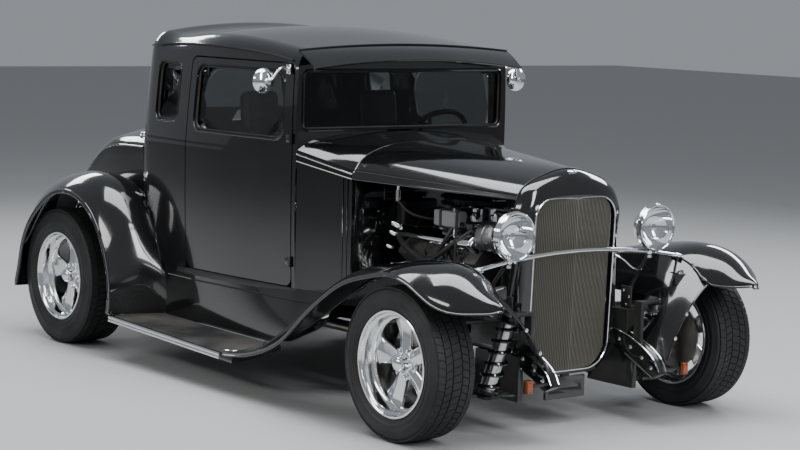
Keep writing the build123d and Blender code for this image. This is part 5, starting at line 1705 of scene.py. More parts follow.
@dataclass
class Tail(Assembly):
    """Rear deck, deck lid and tail lamps."""

    wall: float = 20.0
    span: Point2 = (-2246.0, -2925.0)
    dome_z: float = 560.0

    def build(self) -> None:
        """Build the deck, cut its lid out and fit the lamps."""
        bench = self.bench
        front, back = self.span
        main = np.linspace(front, back, 60)
        rows = table_at(DECK, main)
        outer_x, inner_x = list(main), list(np.linspace(front, back + self.wall, 60))
        outer = [both_sides(deck_half(row, 0)) for row in rows]
        inner = [both_sides(deck_half(row, self.wall)) for row in rows]
        last_out, last_in = outer[-1], inner[-1]
        for turn in np.linspace(8, 88, 10):
            c, s = math.cos(math.radians(turn)), math.sin(math.radians(turn))
            outer_x.append(back - 12 * s)
            inner_x.append(back + self.wall - 6 * s)
            outer.append(shrunk(last_out, c, self.dome_z))
            inner.append(shrunk(last_in, c, self.dome_z))
        deck = self.walled("deck_wall", outer_x, outer, inner_x, inner)
        skin = self.skin("deck_skin", outer_x, outer)
        lid = bench.copy(deck, "deck_lid_panel")
        bench.cut(lid, self._lid_block("lid_block", 0), keep_inside=True)
        bench.cut(deck, self._lid_block("lid_hole", 5))
        for piece in (lid, deck):
            bench.relight(piece, skin)
        bpy.data.objects.remove(skin)
        bench.finish(deck, Finish.GLOSS_BLACK, "rear_deck")
        bench.finish(lid, Finish.GLOSS_BLACK, "deck_lid", body="deck_lid")
        self._fittings()
        self._lamps()

    def _lid_block(self, name: str, gap: float) -> Piece:
        """Make the rounded block that the lid is cut with."""
        front, half_w, low = LID
        outline = rounded(half_w + gap, -2990, front + gap, 30, 46, 9)
        return self.bench.plate(name, outline, lambda a, b, d: self.spot(b, a, d), (low - gap, 1150))

    def _fittings(self) -> None:
        """Hinges and handle of the deck lid, and the belt line that runs over the deck's side."""
        bench = self.bench
        for name, side in SIDES:
            ends = self.run((-2330, side * 300 - 22, 1060), (-2330, side * 300 + 22, 1060))
            leaf = bench.block("leaf", (70, 34, 7), self.spot(-2368, side * 300, 1056), 2.5, (0, -1, 0))
            hinge = [leaf, bench.rod("barrel", ends, 6.5, 14)]
            bench.fit(f"lid_hinge_{name}", hinge, Finish.CHROME, body="deck_lid")
            line = []
            for x in np.linspace(-2252, -2900, 36):
                y_foot, y_top, z_top, _ = table_at(DECK, [x])[0]
                z = z_top - 30
                y = y_foot + (y_top - y_foot) * (z - SILL_Z) / (z_top - SILL_Z)
                line.append(self.spot(x, side * (y - 1.5), z))
            bench.finish(bench.rod(f"deck_line_{name}", line, 5.0, 10), Finish.GLOSS_BLACK)
        base = [(0, 0), (19, 0), (19, 3), (12, 6), (0, 6)]
        grip = self.run((-2912, -38, 857), (-2912, 0, 853), (-2912, 38, 857))
        handle = [bench.turned("base", base, self.spot(-2912, 0, 843), "Z", 24),
                  bench.rod("grip", grip, 7, 12, 9)]
        bench.fit("lid_handle", handle, Finish.CHROME, body="deck_lid")
        cap = [(0, -6), (24, -6), (24, 4), (20, 7), (20, 15), (16, 19), (0, 20)]
        filler = bench.turned("fuel_filler", cap, self.spot(-2330, -530, 1006), "Z", 28)
        bench.finish(filler, Finish.CHROME)

    def _lamps(self) -> None:
        """Round tail lamps on short arms."""
        bench = self.bench
        lenses, shells = [], []
        for _, side in SIDES:
            place = self.spot(-2962, side * 500, 620)
            lens = [(0, -18), (18, -17), (30, -14), (36, -10), (37, -6), (37, 2), (0, 2)]
            lenses.append(bench.turned("lens", lens, place, "X", 40))
            shell = [(0, 18), (20, 17), (34, 11), (42, 2), (44, -6), (43.5, -10), (40, -11.5), (37.5, -10),
                     (37, -4), (0, -4)]
            shells.append(bench.turned("bowl", shell, place, "X", 40))
            arm = [(place[0] + 12, side * 496, 618), (place[0] + 34, side * 474, 616),
                   self.spot(-2912, side * 452, 616)]
            shells.append(bench.rod("arm", arm, 11, 14, 12))
        bench.fit("tail_lamp_lenses", lenses, Finish.RED, "tail_lamps")
        bench.fit("tail_lamp_bowls", shells, Finish.CHROME)


@dataclass
class Wheels(Assembly):
    """Five-spoke wheels and treaded tyres."""

    seat_r: float = 209.0

    def build(self) -> None:
        """Build one front and one rear wheel and copy them to the other side."""
        # each end's axle, tyre radius, outer face, rim width, tyre width and spokes' face
        sizes = (("front", self.at.front_axle, self.at.front_r, 836.0, 178.0, 195.0, 762.0),
                 ("rear", self.at.rear_axle, self.at.rear_r, 818.0, 205.0, 225.0, 740.0))
        for end, axle, radius, face_y, rim_w, tyre_w, spoke_y in sizes:
            alloy, bright = self._rim(end, face_y, rim_w, spoke_y)
            tyre = self._tyre(end, radius, face_y - rim_w / 2, rim_w, tyre_w)
            spot = Matrix.Translation(Vector((axle, 0, radius)) * MM)
            for piece in (alloy, bright, tyre):
                piece.data.transform(spot)
            for name, side in SIDES:
                body = f"wheel_{end}_{name}"
                made = []
                for piece in (alloy, bright, tyre):
                    if side > 0:
                        twin = piece
                        twin.name = twin.data.name = f"{piece.name}_{name}"
                    else:
                        twin = self.bench.mirrored(piece, f"{piece.name}_{name}")
                    made.append(twin)
                self.bench.finish(made[0], Finish.POLISHED, f"{end}_rim_{name}", body=body)
                self.bench.finish(made[1], Finish.CHROME, body=body)
                self.bench.finish(made[2], Finish.RUBBER, f"{end}_tyre_{name}", body=body)

    def _spoke(self, face_y: float) -> Piece:
        """One tapered spoke with a crowned face, running up from the hub."""
        rows = []
        table = ((40, 30, 6, 26), (62, 31, 4, 26), (85, 33, 1, 24), (110, 37, -1, 22), (135, 42, -1, 20),
                 (155, 48, 1, 18), (168, 57, 4, 16), (176, 70, 6, 14), (180, 84, 7, 13))
        for r, half_w, lift, depth in table:
            top = face_y + lift - 4
            half = [(half_w, top - depth), (half_w, top - 9), (half_w - 2, top - 6),
                    (half_w * 0.72, top - 2.5), (half_w * 0.34, top + 1.5), (half_w * 0.12, top + 6)]
            section = [(-a, b) for a, b in half] + [(0, top + 7)] + half[::-1] + [(0, top - depth - 3)]
            rows.append([(x, y, r) for x, y in section])
        grid = np.array(rows)
        smooth = [smooth_path(grid[:, column], 22) for column in range(grid.shape[1])]
        piece = self.bench.sheet("spoke", np.array(smooth).transpose(1, 0, 2), close=True)
        self.bench.close_ends(piece)
        return self.bench.soften(self.bench.tidy(piece), 50)

    def _rim(self, end: str, face_y: float, width: float,
             spoke_y: float) -> tuple[Piece, Piece]:
        """Barrel with stepped lips, spokes and hub, and the bright small parts."""
        bench, back = self.bench, face_y - width
        r = self.seat_r
        profile = [(r, face_y), (r - 3, face_y + 1.5), (r - 8, face_y + 1), (r - 11, face_y - 3),
                   (r - 13, face_y - 10), (r - 20, face_y - 13.5), (r - 23, face_y - 17),
                   (r - 24, face_y - 30), (r - 25, face_y - 46), (r - 29, face_y - 50),
                   (r - 34, face_y - 52.5), (r - 36.5, face_y - 57), (r - 37, spoke_y + 6),
                   (r - 37, spoke_y - 40), (r - 40, back + 30), (r - 26, back + 12), (r - 10, back + 6),
                   (r - 7, back), (r, back), (r, back + 6), (r - 17, back + 14), (r - 32, back + 30),
                   (r - 32, face_y - 60), (r - 21, face_y - 46), (r - 17, face_y - 20), (r, face_y - 10)]
        barrel = bench.turned("barrel", profile, (0, 0, 0), "Y", 96)
        bench.soften(barrel, 40)
        parts = [barrel]
        spoke = self._spoke(spoke_y + 2)
        for index in range(5):
            turn = Matrix.Rotation(math.radians(72 * index - 10), 4, "Y")
            parts.append(bench.copy(spoke, "spoke", turn))
        bpy.data.objects.remove(spoke)
        hub = [(0, spoke_y + 4), (38, spoke_y + 4), (58, spoke_y + 3), (66, spoke_y), (69, spoke_y - 5),
               (69, spoke_y - 26), (60, spoke_y - 54), (17, spoke_y - 54), (17, spoke_y - 8),
               (0, spoke_y - 8)]
        parts.append(bench.turned("hub", hub, (0, 0, 0), "Y", 64))
        alloy = bench.joined(f"{end}_rim_alloy", parts)
        bright = []
        cap = [(0, 50), (10, 49.3), (19, 46.5), (26, 42), (30, 36), (31, 31), (33, 29), (33.5, 8), (36, 4),
               (41, 2), (42, -2), (0, -2)]
        bright.append(bench.turned("cap", [(a, spoke_y + 4 + b) for a, b in cap], (0, 0, 0), "Y", 48))
        for index in range(5):
            turn = math.radians(72 * index + 26)
            place = (55 * math.sin(turn), spoke_y + 3, 55 * math.cos(turn))
            nut = [(0, 0), (10.5, 0), (10.5, 9), (8.5, 13), (5, 15.5), (0, 16.5)]
            seat = [(0, -1), (13, -1), (13, 1.6), (11, 2.6), (0, 2.6)]
            bright.append(bench.turned("nut", nut, place, "Y", 6))
            bright.append(bench.turned("seat", seat, place, "Y", 24))
        return alloy, bench.joined(f"{end}_wheel_fittings", bright)

    def _tyre(self, end: str, radius: float, middle: float, rim_w: float, width: float) -> Piece:
        """Tyre with moulded rings on its walls and blocks on its tread."""
        bench, half, seat = self.bench, width / 2, self.seat_r
        floor = radius - 6
        wall = [(seat - 10, rim_w / 2 - 14), (seat + 2, rim_w / 2 - 5), (seat + 7, rim_w / 2 + 1),
                (seat + 13, half - 6), (seat + 22, half - 2.5), (seat + 24, half - 0.6),
                (seat + 27, half - 0.6), (seat + 29, half - 1.8), (seat + 44, half),
                (seat + 46, half + 0.9), (seat + 49, half + 0.7), (seat + 51, half - 0.6),
                (radius - 27, half - 4.5), (radius - 22, half - 6), (radius - 20, half - 6.4),
                (radius - 14, half - 12), (floor - 1, half - 20), (floor, half - 27)]
        outer = [(a, middle + b) for a, b in wall] + [(floor + 1, middle)]
        profile = outer + [(a, middle - b) for a, b in reversed(wall)]
        core = [(seat + 6, middle - rim_w / 2 + 22), (seat + 40, middle - half + 14),
                (floor - 10, middle - half + 34), (floor - 12, middle), (floor - 10, middle + half - 34),
                (seat + 40, middle + half - 14), (seat + 6, middle + rim_w / 2 - 22)]
        carcass = bench.turned("carcass", profile + core, (0, 0, 0), "Y", 96)
        bench.soften(carcass, 40)
        count, pitch = 64, 360 / 64
        blocks = []
        lanes = ((-half + 12, -half * 0.60, 0.5, 9, 0.475), (-half * 0.56, -half * 0.25, 0.0, -12, 0.43),
                 (-half * 0.20, half * 0.20, 0.5, 9, 0.44), (half * 0.25, half * 0.56, 0.0, 12, 0.43),
                 (half * 0.60, half - 12, 0.5, -9, 0.475))
        for y0, y1, phase, slant, share in lanes:
            rows = []
            for t in np.linspace(0, 1, 4):
                y = y0 + (y1 - y0) * t
                crown = radius - 7.0 * (abs(y) / half) ** 4
                root = min(floor - 3, crown - 6)
                shift = phase * pitch + math.degrees(slant * (t - 0.5) / radius)
                wide = pitch * share
                ring = []
                for angle, r in ((-wide, root), (-wide, crown - 0.8), (-wide + 0.25, crown),
                                 (wide - 0.25, crown), (wide, crown - 0.8), (wide, root)):
                    a = math.radians(shift + angle)
                    ring.append((r * math.sin(a), middle + y, r * math.cos(a)))
                rows.append(ring)
            block = bench.sheet("block", np.array(rows), close=True)
            blocks.append(bench.soften(bench.tidy(bench.close_ends(block)), 30))
        tread = bench.joined("tread", blocks)
        bpy.ops.object.empty_add(location=(0, 0, 0), rotation=(0, math.radians(pitch), 0))
        step = bpy.context.object
        bench.apply(tread, "ARRAY", count=count, use_relative_offset=False, use_object_offset=True,
                    offset_object=step)
        bpy.data.objects.remove(step)
        return bench.joined(f"{end}_tyre_rubber", [carcass, tread])


@dataclass
class Lamps(Assembly):
    """Headlights on their bar, and the amber markers."""

    lamp: Point3 = (187.0, 379.0, 790.0)
    bar_x: float = 140.0

    def build(self) -> None:
        """Build the bar with its brackets, and both lamps."""
        bench = self.bench
        x_bar = self.at.ahead(self.bar_x)
        line = [(x_bar, y, z) for y, z in arc((-538, 662), (0, 712), (538, 662), 41)]
        chrome = [bench.rod("bar", line, 9, 20)]
        glass, mirrors, bulbs = [], [], []
        for _, side in SIDES:
            chrome += self._lamp_shell(side)
            place = self.spot(self.lamp[0], side * self.lamp[1], self.lamp[2])
            lens = [(0, 8), (26, 7.4), (52, 5.4), (72, 3), (88, 0), (89.5, -2), (89.5, -5), (72, -2),
                    (52, 1.2), (26, 3.2), (0, 3.8)]
            glass.append(bench.turned("lens", lens, place, "X", 64))
            bowl = [(86, -6), (84, -12), (76, -30), (62, -52), (42, -70), (20, -79), (0, -81), (0, -83),
                    (21, -82), (44, -73), (65, -54), (80, -30), (88, -12), (88, -6)]
            mirrors.append(bench.turned("reflector", bowl, place, "X", 64))
            bulb = [(0, -30), (9, -32), (13, -40), (12, -50), (8, -58), (8, -80), (0, -80)]
            bulbs.append(bench.turned("bulb", bulb, place, "X", 24))
            shield = [(0, -24), (15, -27), (17, -31), (15, -33), (0, -33)]
            mirrors.append(bench.turned("shield", shield, place, "X", 24))
            chrome += self._brackets(side)
        bench.fit("headlight_chrome", chrome, Finish.CHROME, "headlights")
        bench.fit("headlight_lens_glass", glass, Finish.CLEAR_GLASS, "headlight_lenses")
        bench.fit("headlight_reflectors", mirrors, Finish.REFLECTOR)
        bench.fit("headlight_bulbs", bulbs, Finish.CLEAR_GLASS)
        self._markers()
        self._conduit()

    def _lamp_shell(self, side: int) -> list[Piece]:
        """Bowl with pressed rings, and the rim with its bead."""
        bench = self.bench
        place = self.spot(self.lamp[0], side * self.lamp[1], self.lamp[2])
        outer = [(94, -14), (96, -16), (96.5, -20), (95, -23), (92.5, -25), (92.5, -28), (94, -31),
                 (93, -34), (89, -38), (84, -48), (76, -62), (64, -78), (48, -94), (30, -106), (14, -112.5),
                 (0, -114)]
        inner = [(0, -108), (14, -106), (44, -88), (70, -60), (86, -30), (89, -14)]
        shell = bench.turned("bowl", outer + inner, place, "X", 72)
        rim = [(88, -7), (88, 0.5), (90, 3), (93, 3.6), (96, 1.5), (97.5, -3), (97.5, -9), (98.6, -11),
               (98.6, -14), (97, -16), (94, -16), (90, -12)]
        ring = bench.turned("rim", rim, place, "X", 72)
        screw = bench.block("clamp", (12, 10, 14), (place[0] - 10, place[1], place[2] - 98), 2)
        tip = bench.turned("tip", [(0, -118), (6, -117), (8, -112), (0, -112)], place, "X", 20)
        return [bench.soften(shell, 50), bench.soften(ring, 50), screw, tip]

    def _brackets(self, side: int) -> list[Piece]:
        """Stem with its nut, end foot with its collar and bolts, of one lamp."""
        bench, x_bar = self.bench, self.at.ahead(self.bar_x)
        stem = [(0, 672), (15, 672), (17, 676), (17, 682), (12, 687), (12, 697), (16, 702), (17, 706),
                (15, 712), (0, 712)]
        pieces = [bench.turned("stem", [(a, b + 8) for a, b in stem], (x_bar, side * 379, 0), "Z", 32)]
        pieces.append(bench.turned("nut", [(0, 664), (15, 664), (15, 676), (0, 676)],
                                   (x_bar, side * 379, 0), "Z", 6))
        foot = bench.block("foot", (60, 36, 8), (x_bar - 2, side * 541, 659), 3.5, (side * -9, 0, 0), 3)
        collar = bench.rod("collar", [(x_bar, side * 526, 664.5), (x_bar, side * 550, 660)], 12, 20)
        pieces += [foot, collar]
        for dx in (-24, 22):
            pieces.append(bench.turned("bolt", [(0, 0), (7, 0), (7, 5), (5, 7), (0, 7.5)],
                                       (x_bar + dx, side * 541, 664), "Z", 12))
        return pieces

    def _brace(self, side: int) -> list[Piece]:
        """Dull stay from under the stem down to the frame tower."""
        bench, x_bar = self.bench, self.at.ahead(self.bar_x)
        run = [(x_bar, side * 383, 690), self.spot(104, side * 387, 640), self.spot(66, side * 390, 587),
               self.spot(38, side * 381, 520), self.spot(20, side * 372, 456)]
        return [bench.rod("brace", run, 7.5, 14, 26),
                bench.turned("eye", [(0, -8), (12, -8), (13, -5), (13, 5), (12, 8), (0, 8)],
                             (x_bar, side * 383, 692), "Y", 24)]

    def _conduit(self) -> None:
        """Bright conduit from the grille shell to the left lamp's stay."""
        run = [self.spot(88, 240, 674), self.spot(94, 286, 652), self.spot(95, 318, 628),
               self.spot(97, 352, 610), self.spot(92, 386, 606)]
        self.bench.finish(self.bench.rod("lamp_conduit", run, 3.6, 10, 26), Finish.CHROME)

    def _markers(self) -> None:
        """Amber lamps beside the frame horns with their brackets, and the lamps' dull stays."""
        bench, lenses, holders = self.bench, [], []
        for _, side in SIDES:
            holders += self._brace(side)
            place = self.spot(326, side * 418, 229)
            lenses.append(bench.block("lens", (20, 26, 48), (place[0] + 5, place[1], place[2]), 5,
                                      segments=4))
            holders.append(bench.block("back", (14, 31, 54), (place[0] - 7, place[1], place[2]), 4))
            holders.append(bench.block("arm", (9, 100, 13), (place[0] - 7, side * 359, place[2]), 2.5))
            for dz in (-18, 18):
                holders.append(bench.turned("screw", [(0, 0), (3, 0), (3, 1.5), (2, 2.6), (0, 3)],
                                            (place[0] + 14.5, place[1], place[2] + dz), "X", 12))
        bench.fit("marker_lenses", lenses, Finish.AMBER, "marker_lamps")
        bench.fit("marker_holders", holders, Finish.SATIN_BLACK)


@dataclass
class Mirrors(Assembly):
    """Round mirrors on bent arms at the upper door hinges, and the door's own hinges."""

    head: Point3 = (-1092.0, 700.0, 1329.0)
    root: Point3 = (-1072.0, 588.0, 1378.0)

    def build(self) -> None:
        """Build both mirrors."""
        bench = self.bench
        for name, side in SIDES:
            head, root = self.run(self.head, self.root, side=side)
            shell = [(0, 20), (20, 18.5), (38, 13), (50, 5), (54, -2), (54.5, -6), (53, -8.5), (50.5, -8),
                     (50, -5), (0, -5)]
            arm = [root, (root[0] + 14, side * 622, 1386), (root[0] + 24, side * 652, 1380),
                   (head[0] + 30, side * 672, 1346), (head[0] + 24, side * 690, 1331),
                   (head[0] + 14, head[1], 1329)]
            knuckle = [(root[0], side * 590, root[2] - 16), (root[0], side * 590, root[2] + 16)]
            ball = [(0, -9), (7, -7), (10, 0), (7, 7), (0, 9)]
            pieces = [bench.soften(bench.turned("head", shell, head, "X", 56), 50),
                      bench.rod("arm", arm, 6, 14, 30),
                      bench.block("foot", (28, 12, 42), (root[0], side * 588, root[2]), 4, segments=3),
                      bench.rod("knuckle", knuckle, 8, 16),
                      bench.turned("ball", ball, (head[0] + 20, head[1], head[2]), "X", 20)]
            bench.fit(f"mirror_{name}_chrome", pieces, Finish.CHROME, f"mirror_{name}", body=f"door_{name}")
            face = [(0, -5.5), (49.5, -5.5), (49.5, -8), (46, -8.6), (0, -9.2)]
            pane = bench.turned("mirror_pane", face, head, "X", 48)
            pane.name = pane.data.name = f"mirror_{name}_pane"
            bench.finish(pane, Finish.REFLECTOR, body=f"door_{name}")
            self._hinges(name, side)

    def _hinges(self, name: str, side: int) -> None:
        """Two exposed hinges at the door's front edge."""
        bench, pieces = self.bench, []
        cab = Cab(bench, self.at)
        for z in (1085, 560):
            y = cab.side_y(-1062, z) + 3
            pin = self.run((-1047, y + 3, z - 22), (-1047, y + 3, z + 22), side=side)
            pieces.append(bench.rod("pin", pin, 7, 16))
            pieces.append(bench.block("leaf", (34, 8, 34), self.spot(-1067, side * (y - 1), z), 2.5))
        bench.fit(f"door_hinges_{name}", pieces, Finish.GLOSS_BLACK, body=f"door_{name}")


@dataclass
class EngineBay(Assembly):
    """The V8 and what shows around it through the open sides."""

    front: float = -185.0
    rear: float = -725.0
    bank: float = 42.0
    cleaner: Point3 = (-475.0, 0.0, 860.0)

    def build(self) -> None:
        """Build the engine, its drive, its hoses and the radiator."""
        bench = self.bench
        bench.fit("engine_block", self._block(), Finish.CAST_IRON, "engine")
        bench.fit("engine_alloy", self._alloy(), Finish.CAST_ALLOY)
        bench.fit("engine_chrome", self._chrome(), Finish.CHROME)
        bench.fit("air_filter", self._filter(), Finish.TRIM_PLASTIC)
        bench.fit("engine_hoses", self._hoses(), Finish.HOSE)
        bench.finish(bench.block("coolant_box", (146, 62, 66), self.spot(-381, -250, 800), 9, (0, 0, 0), 4),
                     Finish.GREY_PLASTIC)
        bench.fit("coolant_fittings", self._box_fittings(), Finish.TRIM_PLASTIC)
        self._radiator()

    @property
    def middle(self) -> float:
        """X of the engine's middle."""
        return self.at.ahead((self.front + self.rear) / 2)

    def _block(self) -> list[Piece]:
        """Crankcase with ribs, heads, sump and starter."""
        bench, x = self.bench, self.middle
        pieces = [bench.block("crankcase", (530, 240, 290), (x, 0, 485), 8),
                  bench.block("sump", (470, 188, 100), (x, 0, 302), 14, segments=3),
                  bench.block("intake_floor", (390, 190, 60), (x, 0, 672), 8)]
        for side in (-1, 1):
            place = (x, side * 165, 620)
            pieces.append(bench.block("head", (510, 166, 124), place, 8, (side * self.bank, 0, 0)))
            for step in range(-2, 3):
                pieces.append(bench.block("rib", (8, 10, 230), (x + step * 96, side * 122, 480), 2))
        pieces.append(bench.rod("starter", [(x - 250, -150, 345), (x - 80, -150, 345)], 42, 20))
        pieces.append(bench.rod("filter", [(x + 190, 150, 360), (x + 190, 185, 290)], 38, 20))
        return pieces

    def _alloy(self) -> list[Piece]:
        """Intake, alternator, pump and brackets."""
        bench, x = self.bench, self.middle
        pieces = [bench.block("plenum", (300, 150, 66), (x - 10, 0, 728), 12, segments=3)]
        for side in (-1, 1):
            for step in range(4):
                start = (x - 150 + step * 100, side * 60, 738)
                end = (x - 160 + step * 106, side * 118, 684)
                pieces.append(bench.rod("runner", [start, (start[0], side * 95, 730), end], 21, 14, 8))
        spot = self.spot(-150, -210, 745)
        body = [(0, -58), (48, -58), (58, -52), (61, -44), (61, -10), (57, -8), (57, 4), (61, 6), (61, 38),
                (55, 48), (36, 53), (0, 53)]
        pieces.append(bench.soften(bench.turned("alternator", body, spot, "X", 40), 50))
        for index in range(10):
            turn = math.radians(36 * index)
            place = (spot[0] + 20, spot[1] + 61 * math.sin(turn), spot[2] + 61 * math.cos(turn))
            pieces.append(bench.block("fin", (26, 4, 9), place, 1.2, (-36 * index, 0, 0)))
        arm = self.spot(-176, -150, 700)
        pieces.append(bench.block("alternator_arm", (18, 150, 26), arm, 4, (-28, 0, 0)))
        pump = [(0, -30), (62, -30), (66, -24), (66, 10), (52, 24), (0, 26)]
        pieces.append(bench.turned("pump", pump, self.spot(-170, 0, 520), "X", 32))
        compressor = self.spot(-230, 205, 700)
        pieces.append(bench.block("compressor", (130, 96, 104), compressor, 10, segments=3))
        return pieces

    def _chrome(self) -> list[Piece]:
        """Valve covers, headers, pulleys, air cleaner lid and small fittings."""
        bench, x = self.bench, self.middle
        pieces = []
        for side in (-1, 1):
            lean = (side * self.bank, 0, 0)
            tilt = math.radians(side * self.bank)
            pieces.append(bench.block("cover", (486, 112, 62), (x, side * 228, 692), 14, lean, 4))
            pieces.append(bench.block("flange", (498, 128, 10), (x, side * 206, 668), 3, lean))
            for step in range(7):
                centre = (x - 180 + step * 60, side * 228 - 33 * math.sin(tilt), 692 + 33 * math.cos(tilt))
                pieces.append(bench.block("fin", (34, 88, 5), centre, 2, lean))
            for step in (-180, 0, 180):
                base = (x + step, side * 228 - 34 * math.sin(tilt), 692 + 34 * math.cos(tilt))
                wing = [(base[0] + dx, base[1], base[2] + 4) for dx in (-16, 16)]
                pieces.append(bench.rod("wing", wing, 4, 10))
            for px in (-620, -510, -400, -290):
                header = self.run((px, 212, 578), (px - 2, 246, 566), (px - 12, 266, 530),
                                  (px - 60, 256, 476), side=side)
                pieces.append(bench.rod("header", header, 20, 18, 16))
                pieces.append(bench.block("port", (56, 12, 50), self.spot(px, side * 216, 576), 5, lean))
            collector = self.run((-290, 255, 474), (-500, 254, 466), (-690, 252, 462), (-745, 242, 380),
                                 (-790, 236, 290), side=side)
            pieces.append(bench.rod("collector", collector, 27, 20, 30))
        lid = [(0, 31), (10, 31), (12, 27), (120, 24), (160, 20), (176, 13), (178, 8), (174, 6), (160, 12),
               (0, 16)]
        tray = [(0, -28), (150, -28), (172, -22), (177, -14), (172, -12), (150, -20), (0, -22)]
        nut = [(0, 31), (9, 31), (9, 38), (6, 43), (0, 44)]
        neck = [(0, -90), (62, -90), (62, -66), (56, -60), (56, -28), (0, -28)]
        place = self.spot(*self.cleaner)
        for name, profile, steps in (("lid", lid, 72), ("tray", tray, 72), ("wing_nut", nut, 16),
                                     ("neck", neck, 40)):
            pieces.append(bench.turned(name, profile, place, "Z", steps))
        for centre, radius in (((-105, 0, 520), 66), ((-105, 0, 400), 82), ((-88, -210, 745), 38),
                               ((-105, 205, 700), 52)):
            wheel = [(0, -8), (radius, -8), (radius, -5), (radius - 7, -1), (radius, 3), (radius, 6),
                     (radius - 8, 6), (radius - 14, 1), (18, -2), (18, 10), (0, 10)]
            pieces.append(bench.soften(bench.turned("pulley", wheel, self.spot(*centre), "X", 48), 50))
        dipstick = [(x + 120, -190, 560), (x + 126, -262, 700), (x + 122, -268, 846)]
        pieces.append(bench.rod("dipstick", dipstick, 4, 8, 18))
        cap = self.run((-735, -250, 838), (-735, -250, 884))
        pieces.append(bench.rod("vacuum_cap", cap, 12, 18))
        tip = self.run((-735, -250, 884), (-733, -250, 902))
        pieces.append(bench.rod("master_tip", tip, 7, 14))
        for dz, dy, size in ((742, -268, 22), (706, -282, 18), (650, -300, 16)):
            pieces.append(bench.block("fitting", (size * 2, size, size), self.spot(-716, dy, dz), 4,
                                      (12, 18, 25), 3))
        return pieces

    def _filter(self) -> list[Piece]:
        """Pleated element, distributor cap, belt and firewall boxes."""
        bench = self.bench
        place = self.spot(*self.cleaner)
        pieces = [bench.turned("element", [(120, -22), (160, -22), (160, 18), (120, 18)], place, "Z", 60)]
        for index in range(48):
            turn = math.radians(7.5 * index)
            edge = (place[0] + 161 * math.cos(turn), place[1] + 161 * math.sin(turn), 858)
            pieces.append(bench.block("pleat", (4, 3.4, 38), edge, 0.8, (0, 0, 7.5 * index)))
        spot = self.spot(-690, 0, 770)
        cap = [(0, -80), (34, -80), (34, -30), (46, -26), (46, 6), (36, 16), (0, 18)]
        pieces.append(bench.turned("distributor", cap, spot, "Z", 36))
        for index in range(8):
            turn = math.radians(45 * index)
            ends = [(spot[0] + r * math.cos(turn), r * math.sin(turn), z)
                    for r, z in ((32, 782), (34, 802))]
            pieces.append(bench.rod("tower", ends, 6, 12))
        pieces.append(bench.block("fuse_box", (30, 150, 90), self.spot(-776, 250, 800), 8, segments=3))
        pieces.append(bench.block("heater_box", (60, 190, 120), self.spot(-764, -120, 780), 16, segments=4))
        belt = []
        for angle in np.linspace(0, 2 * math.pi, 40, endpoint=False):
            belt.append(self.spot(-105, 68 * math.sin(angle) * (1.0 + 0.15 * (math.cos(angle) < 0)),
                         460 + 122 * math.cos(angle)))
        pieces.append(bench.sweep("belt", np.array(belt), [(-2, -9), (2, -9), (2, 9), (-2, 9)],
                                  up=(1, 0, 0), closed=True))
        loop = self.run((-92, -238, 770), (-92, -244, 730), (-98, -70, 420), (-98, -60, 350))
        pieces.append(bench.rod("long_belt", loop, 5, 8))
        return pieces

    def _hoses(self) -> list[Piece]:
        """Radiator, heater and brake hoses, and the plug leads."""
        # each hose's name, radius, sides and points along it, then the places that it passes
        hoses = (("top_hose", 24, 18, 26, ((-215, 40, 720), (-150, 60, 770), (-70, 90, 800),
                                           (-22, 110, 812))),
                 ("foot_hose", 22, 18, 26, ((-160, -50, 480), (-120, -150, 430), (-60, -150, 400),
                                            (-22, -120, 390))),
                 ("heater_hose", 12, 14, 48, ((-770, -200, 740), (-700, -268, 700), (-560, -300, 640),
                                              (-420, -306, 632), (-330, -290, 690), (-250, -240, 760))),
                 ("drop_hose", 9, 12, 30, ((-330, -262, 784), (-352, -292, 720), (-410, -300, 640),
                                           (-470, -296, 600))),
                 ("vacuum_hose", 8, 12, 30, ((-735, -250, 846), (-690, -230, 800), (-600, -160, 770),
                                             (-540, -90, 760))),
                 ("fill_hose", 8, 12, 26, ((-381, -250, 765), (-372, -262, 700), (-330, -280, 610),
                                           (-300, -270, 540))),
                 ("vertical_tube", 6, 14, 14, ((-300, -284, 560), (-298, -286, 700), (-300, -280, 842))))
        pieces = [self.bench.rod(name, self.run(*places), radius, sides, steps)
                  for name, radius, sides, steps, places in hoses]
        for side in (-1, 1):
            for step in range(4):
                x = self.middle - 180 + step * 116
                lead = [self.spot(-690, side * 30, 800),
                        self.spot(-640 + step * 12, side * 110, 812 - step * 6),
                        (x - 20, side * 190, 756 - step * 2), (x + 4, side * 268, 650),
                        (x, side * 224, 590)]
                pieces.append(self.bench.rod("lead", lead, 4, 8, 34))
        return pieces

    def _box_fittings(self) -> list[Piece]:
        """Cap, strap and feet of the grey coolant box."""
        bench, cap = self.bench, [(0, 0), (20, 0), (21, 3), (21, 12), (17, 16), (0, 17)]
        return [bench.turned("cap", cap, self.spot(-345, -250, 832), "Z", 24),
                bench.block("strap", (14, 70, 74), self.spot(-405, -250, 798), 3),
                bench.block("foot", (120, 40, 10), self.spot(-381, -244, 764), 3),
                bench.rod("outlet", self.run((-312, -250, 784), (-296, -252, 784)), 9, 14)]

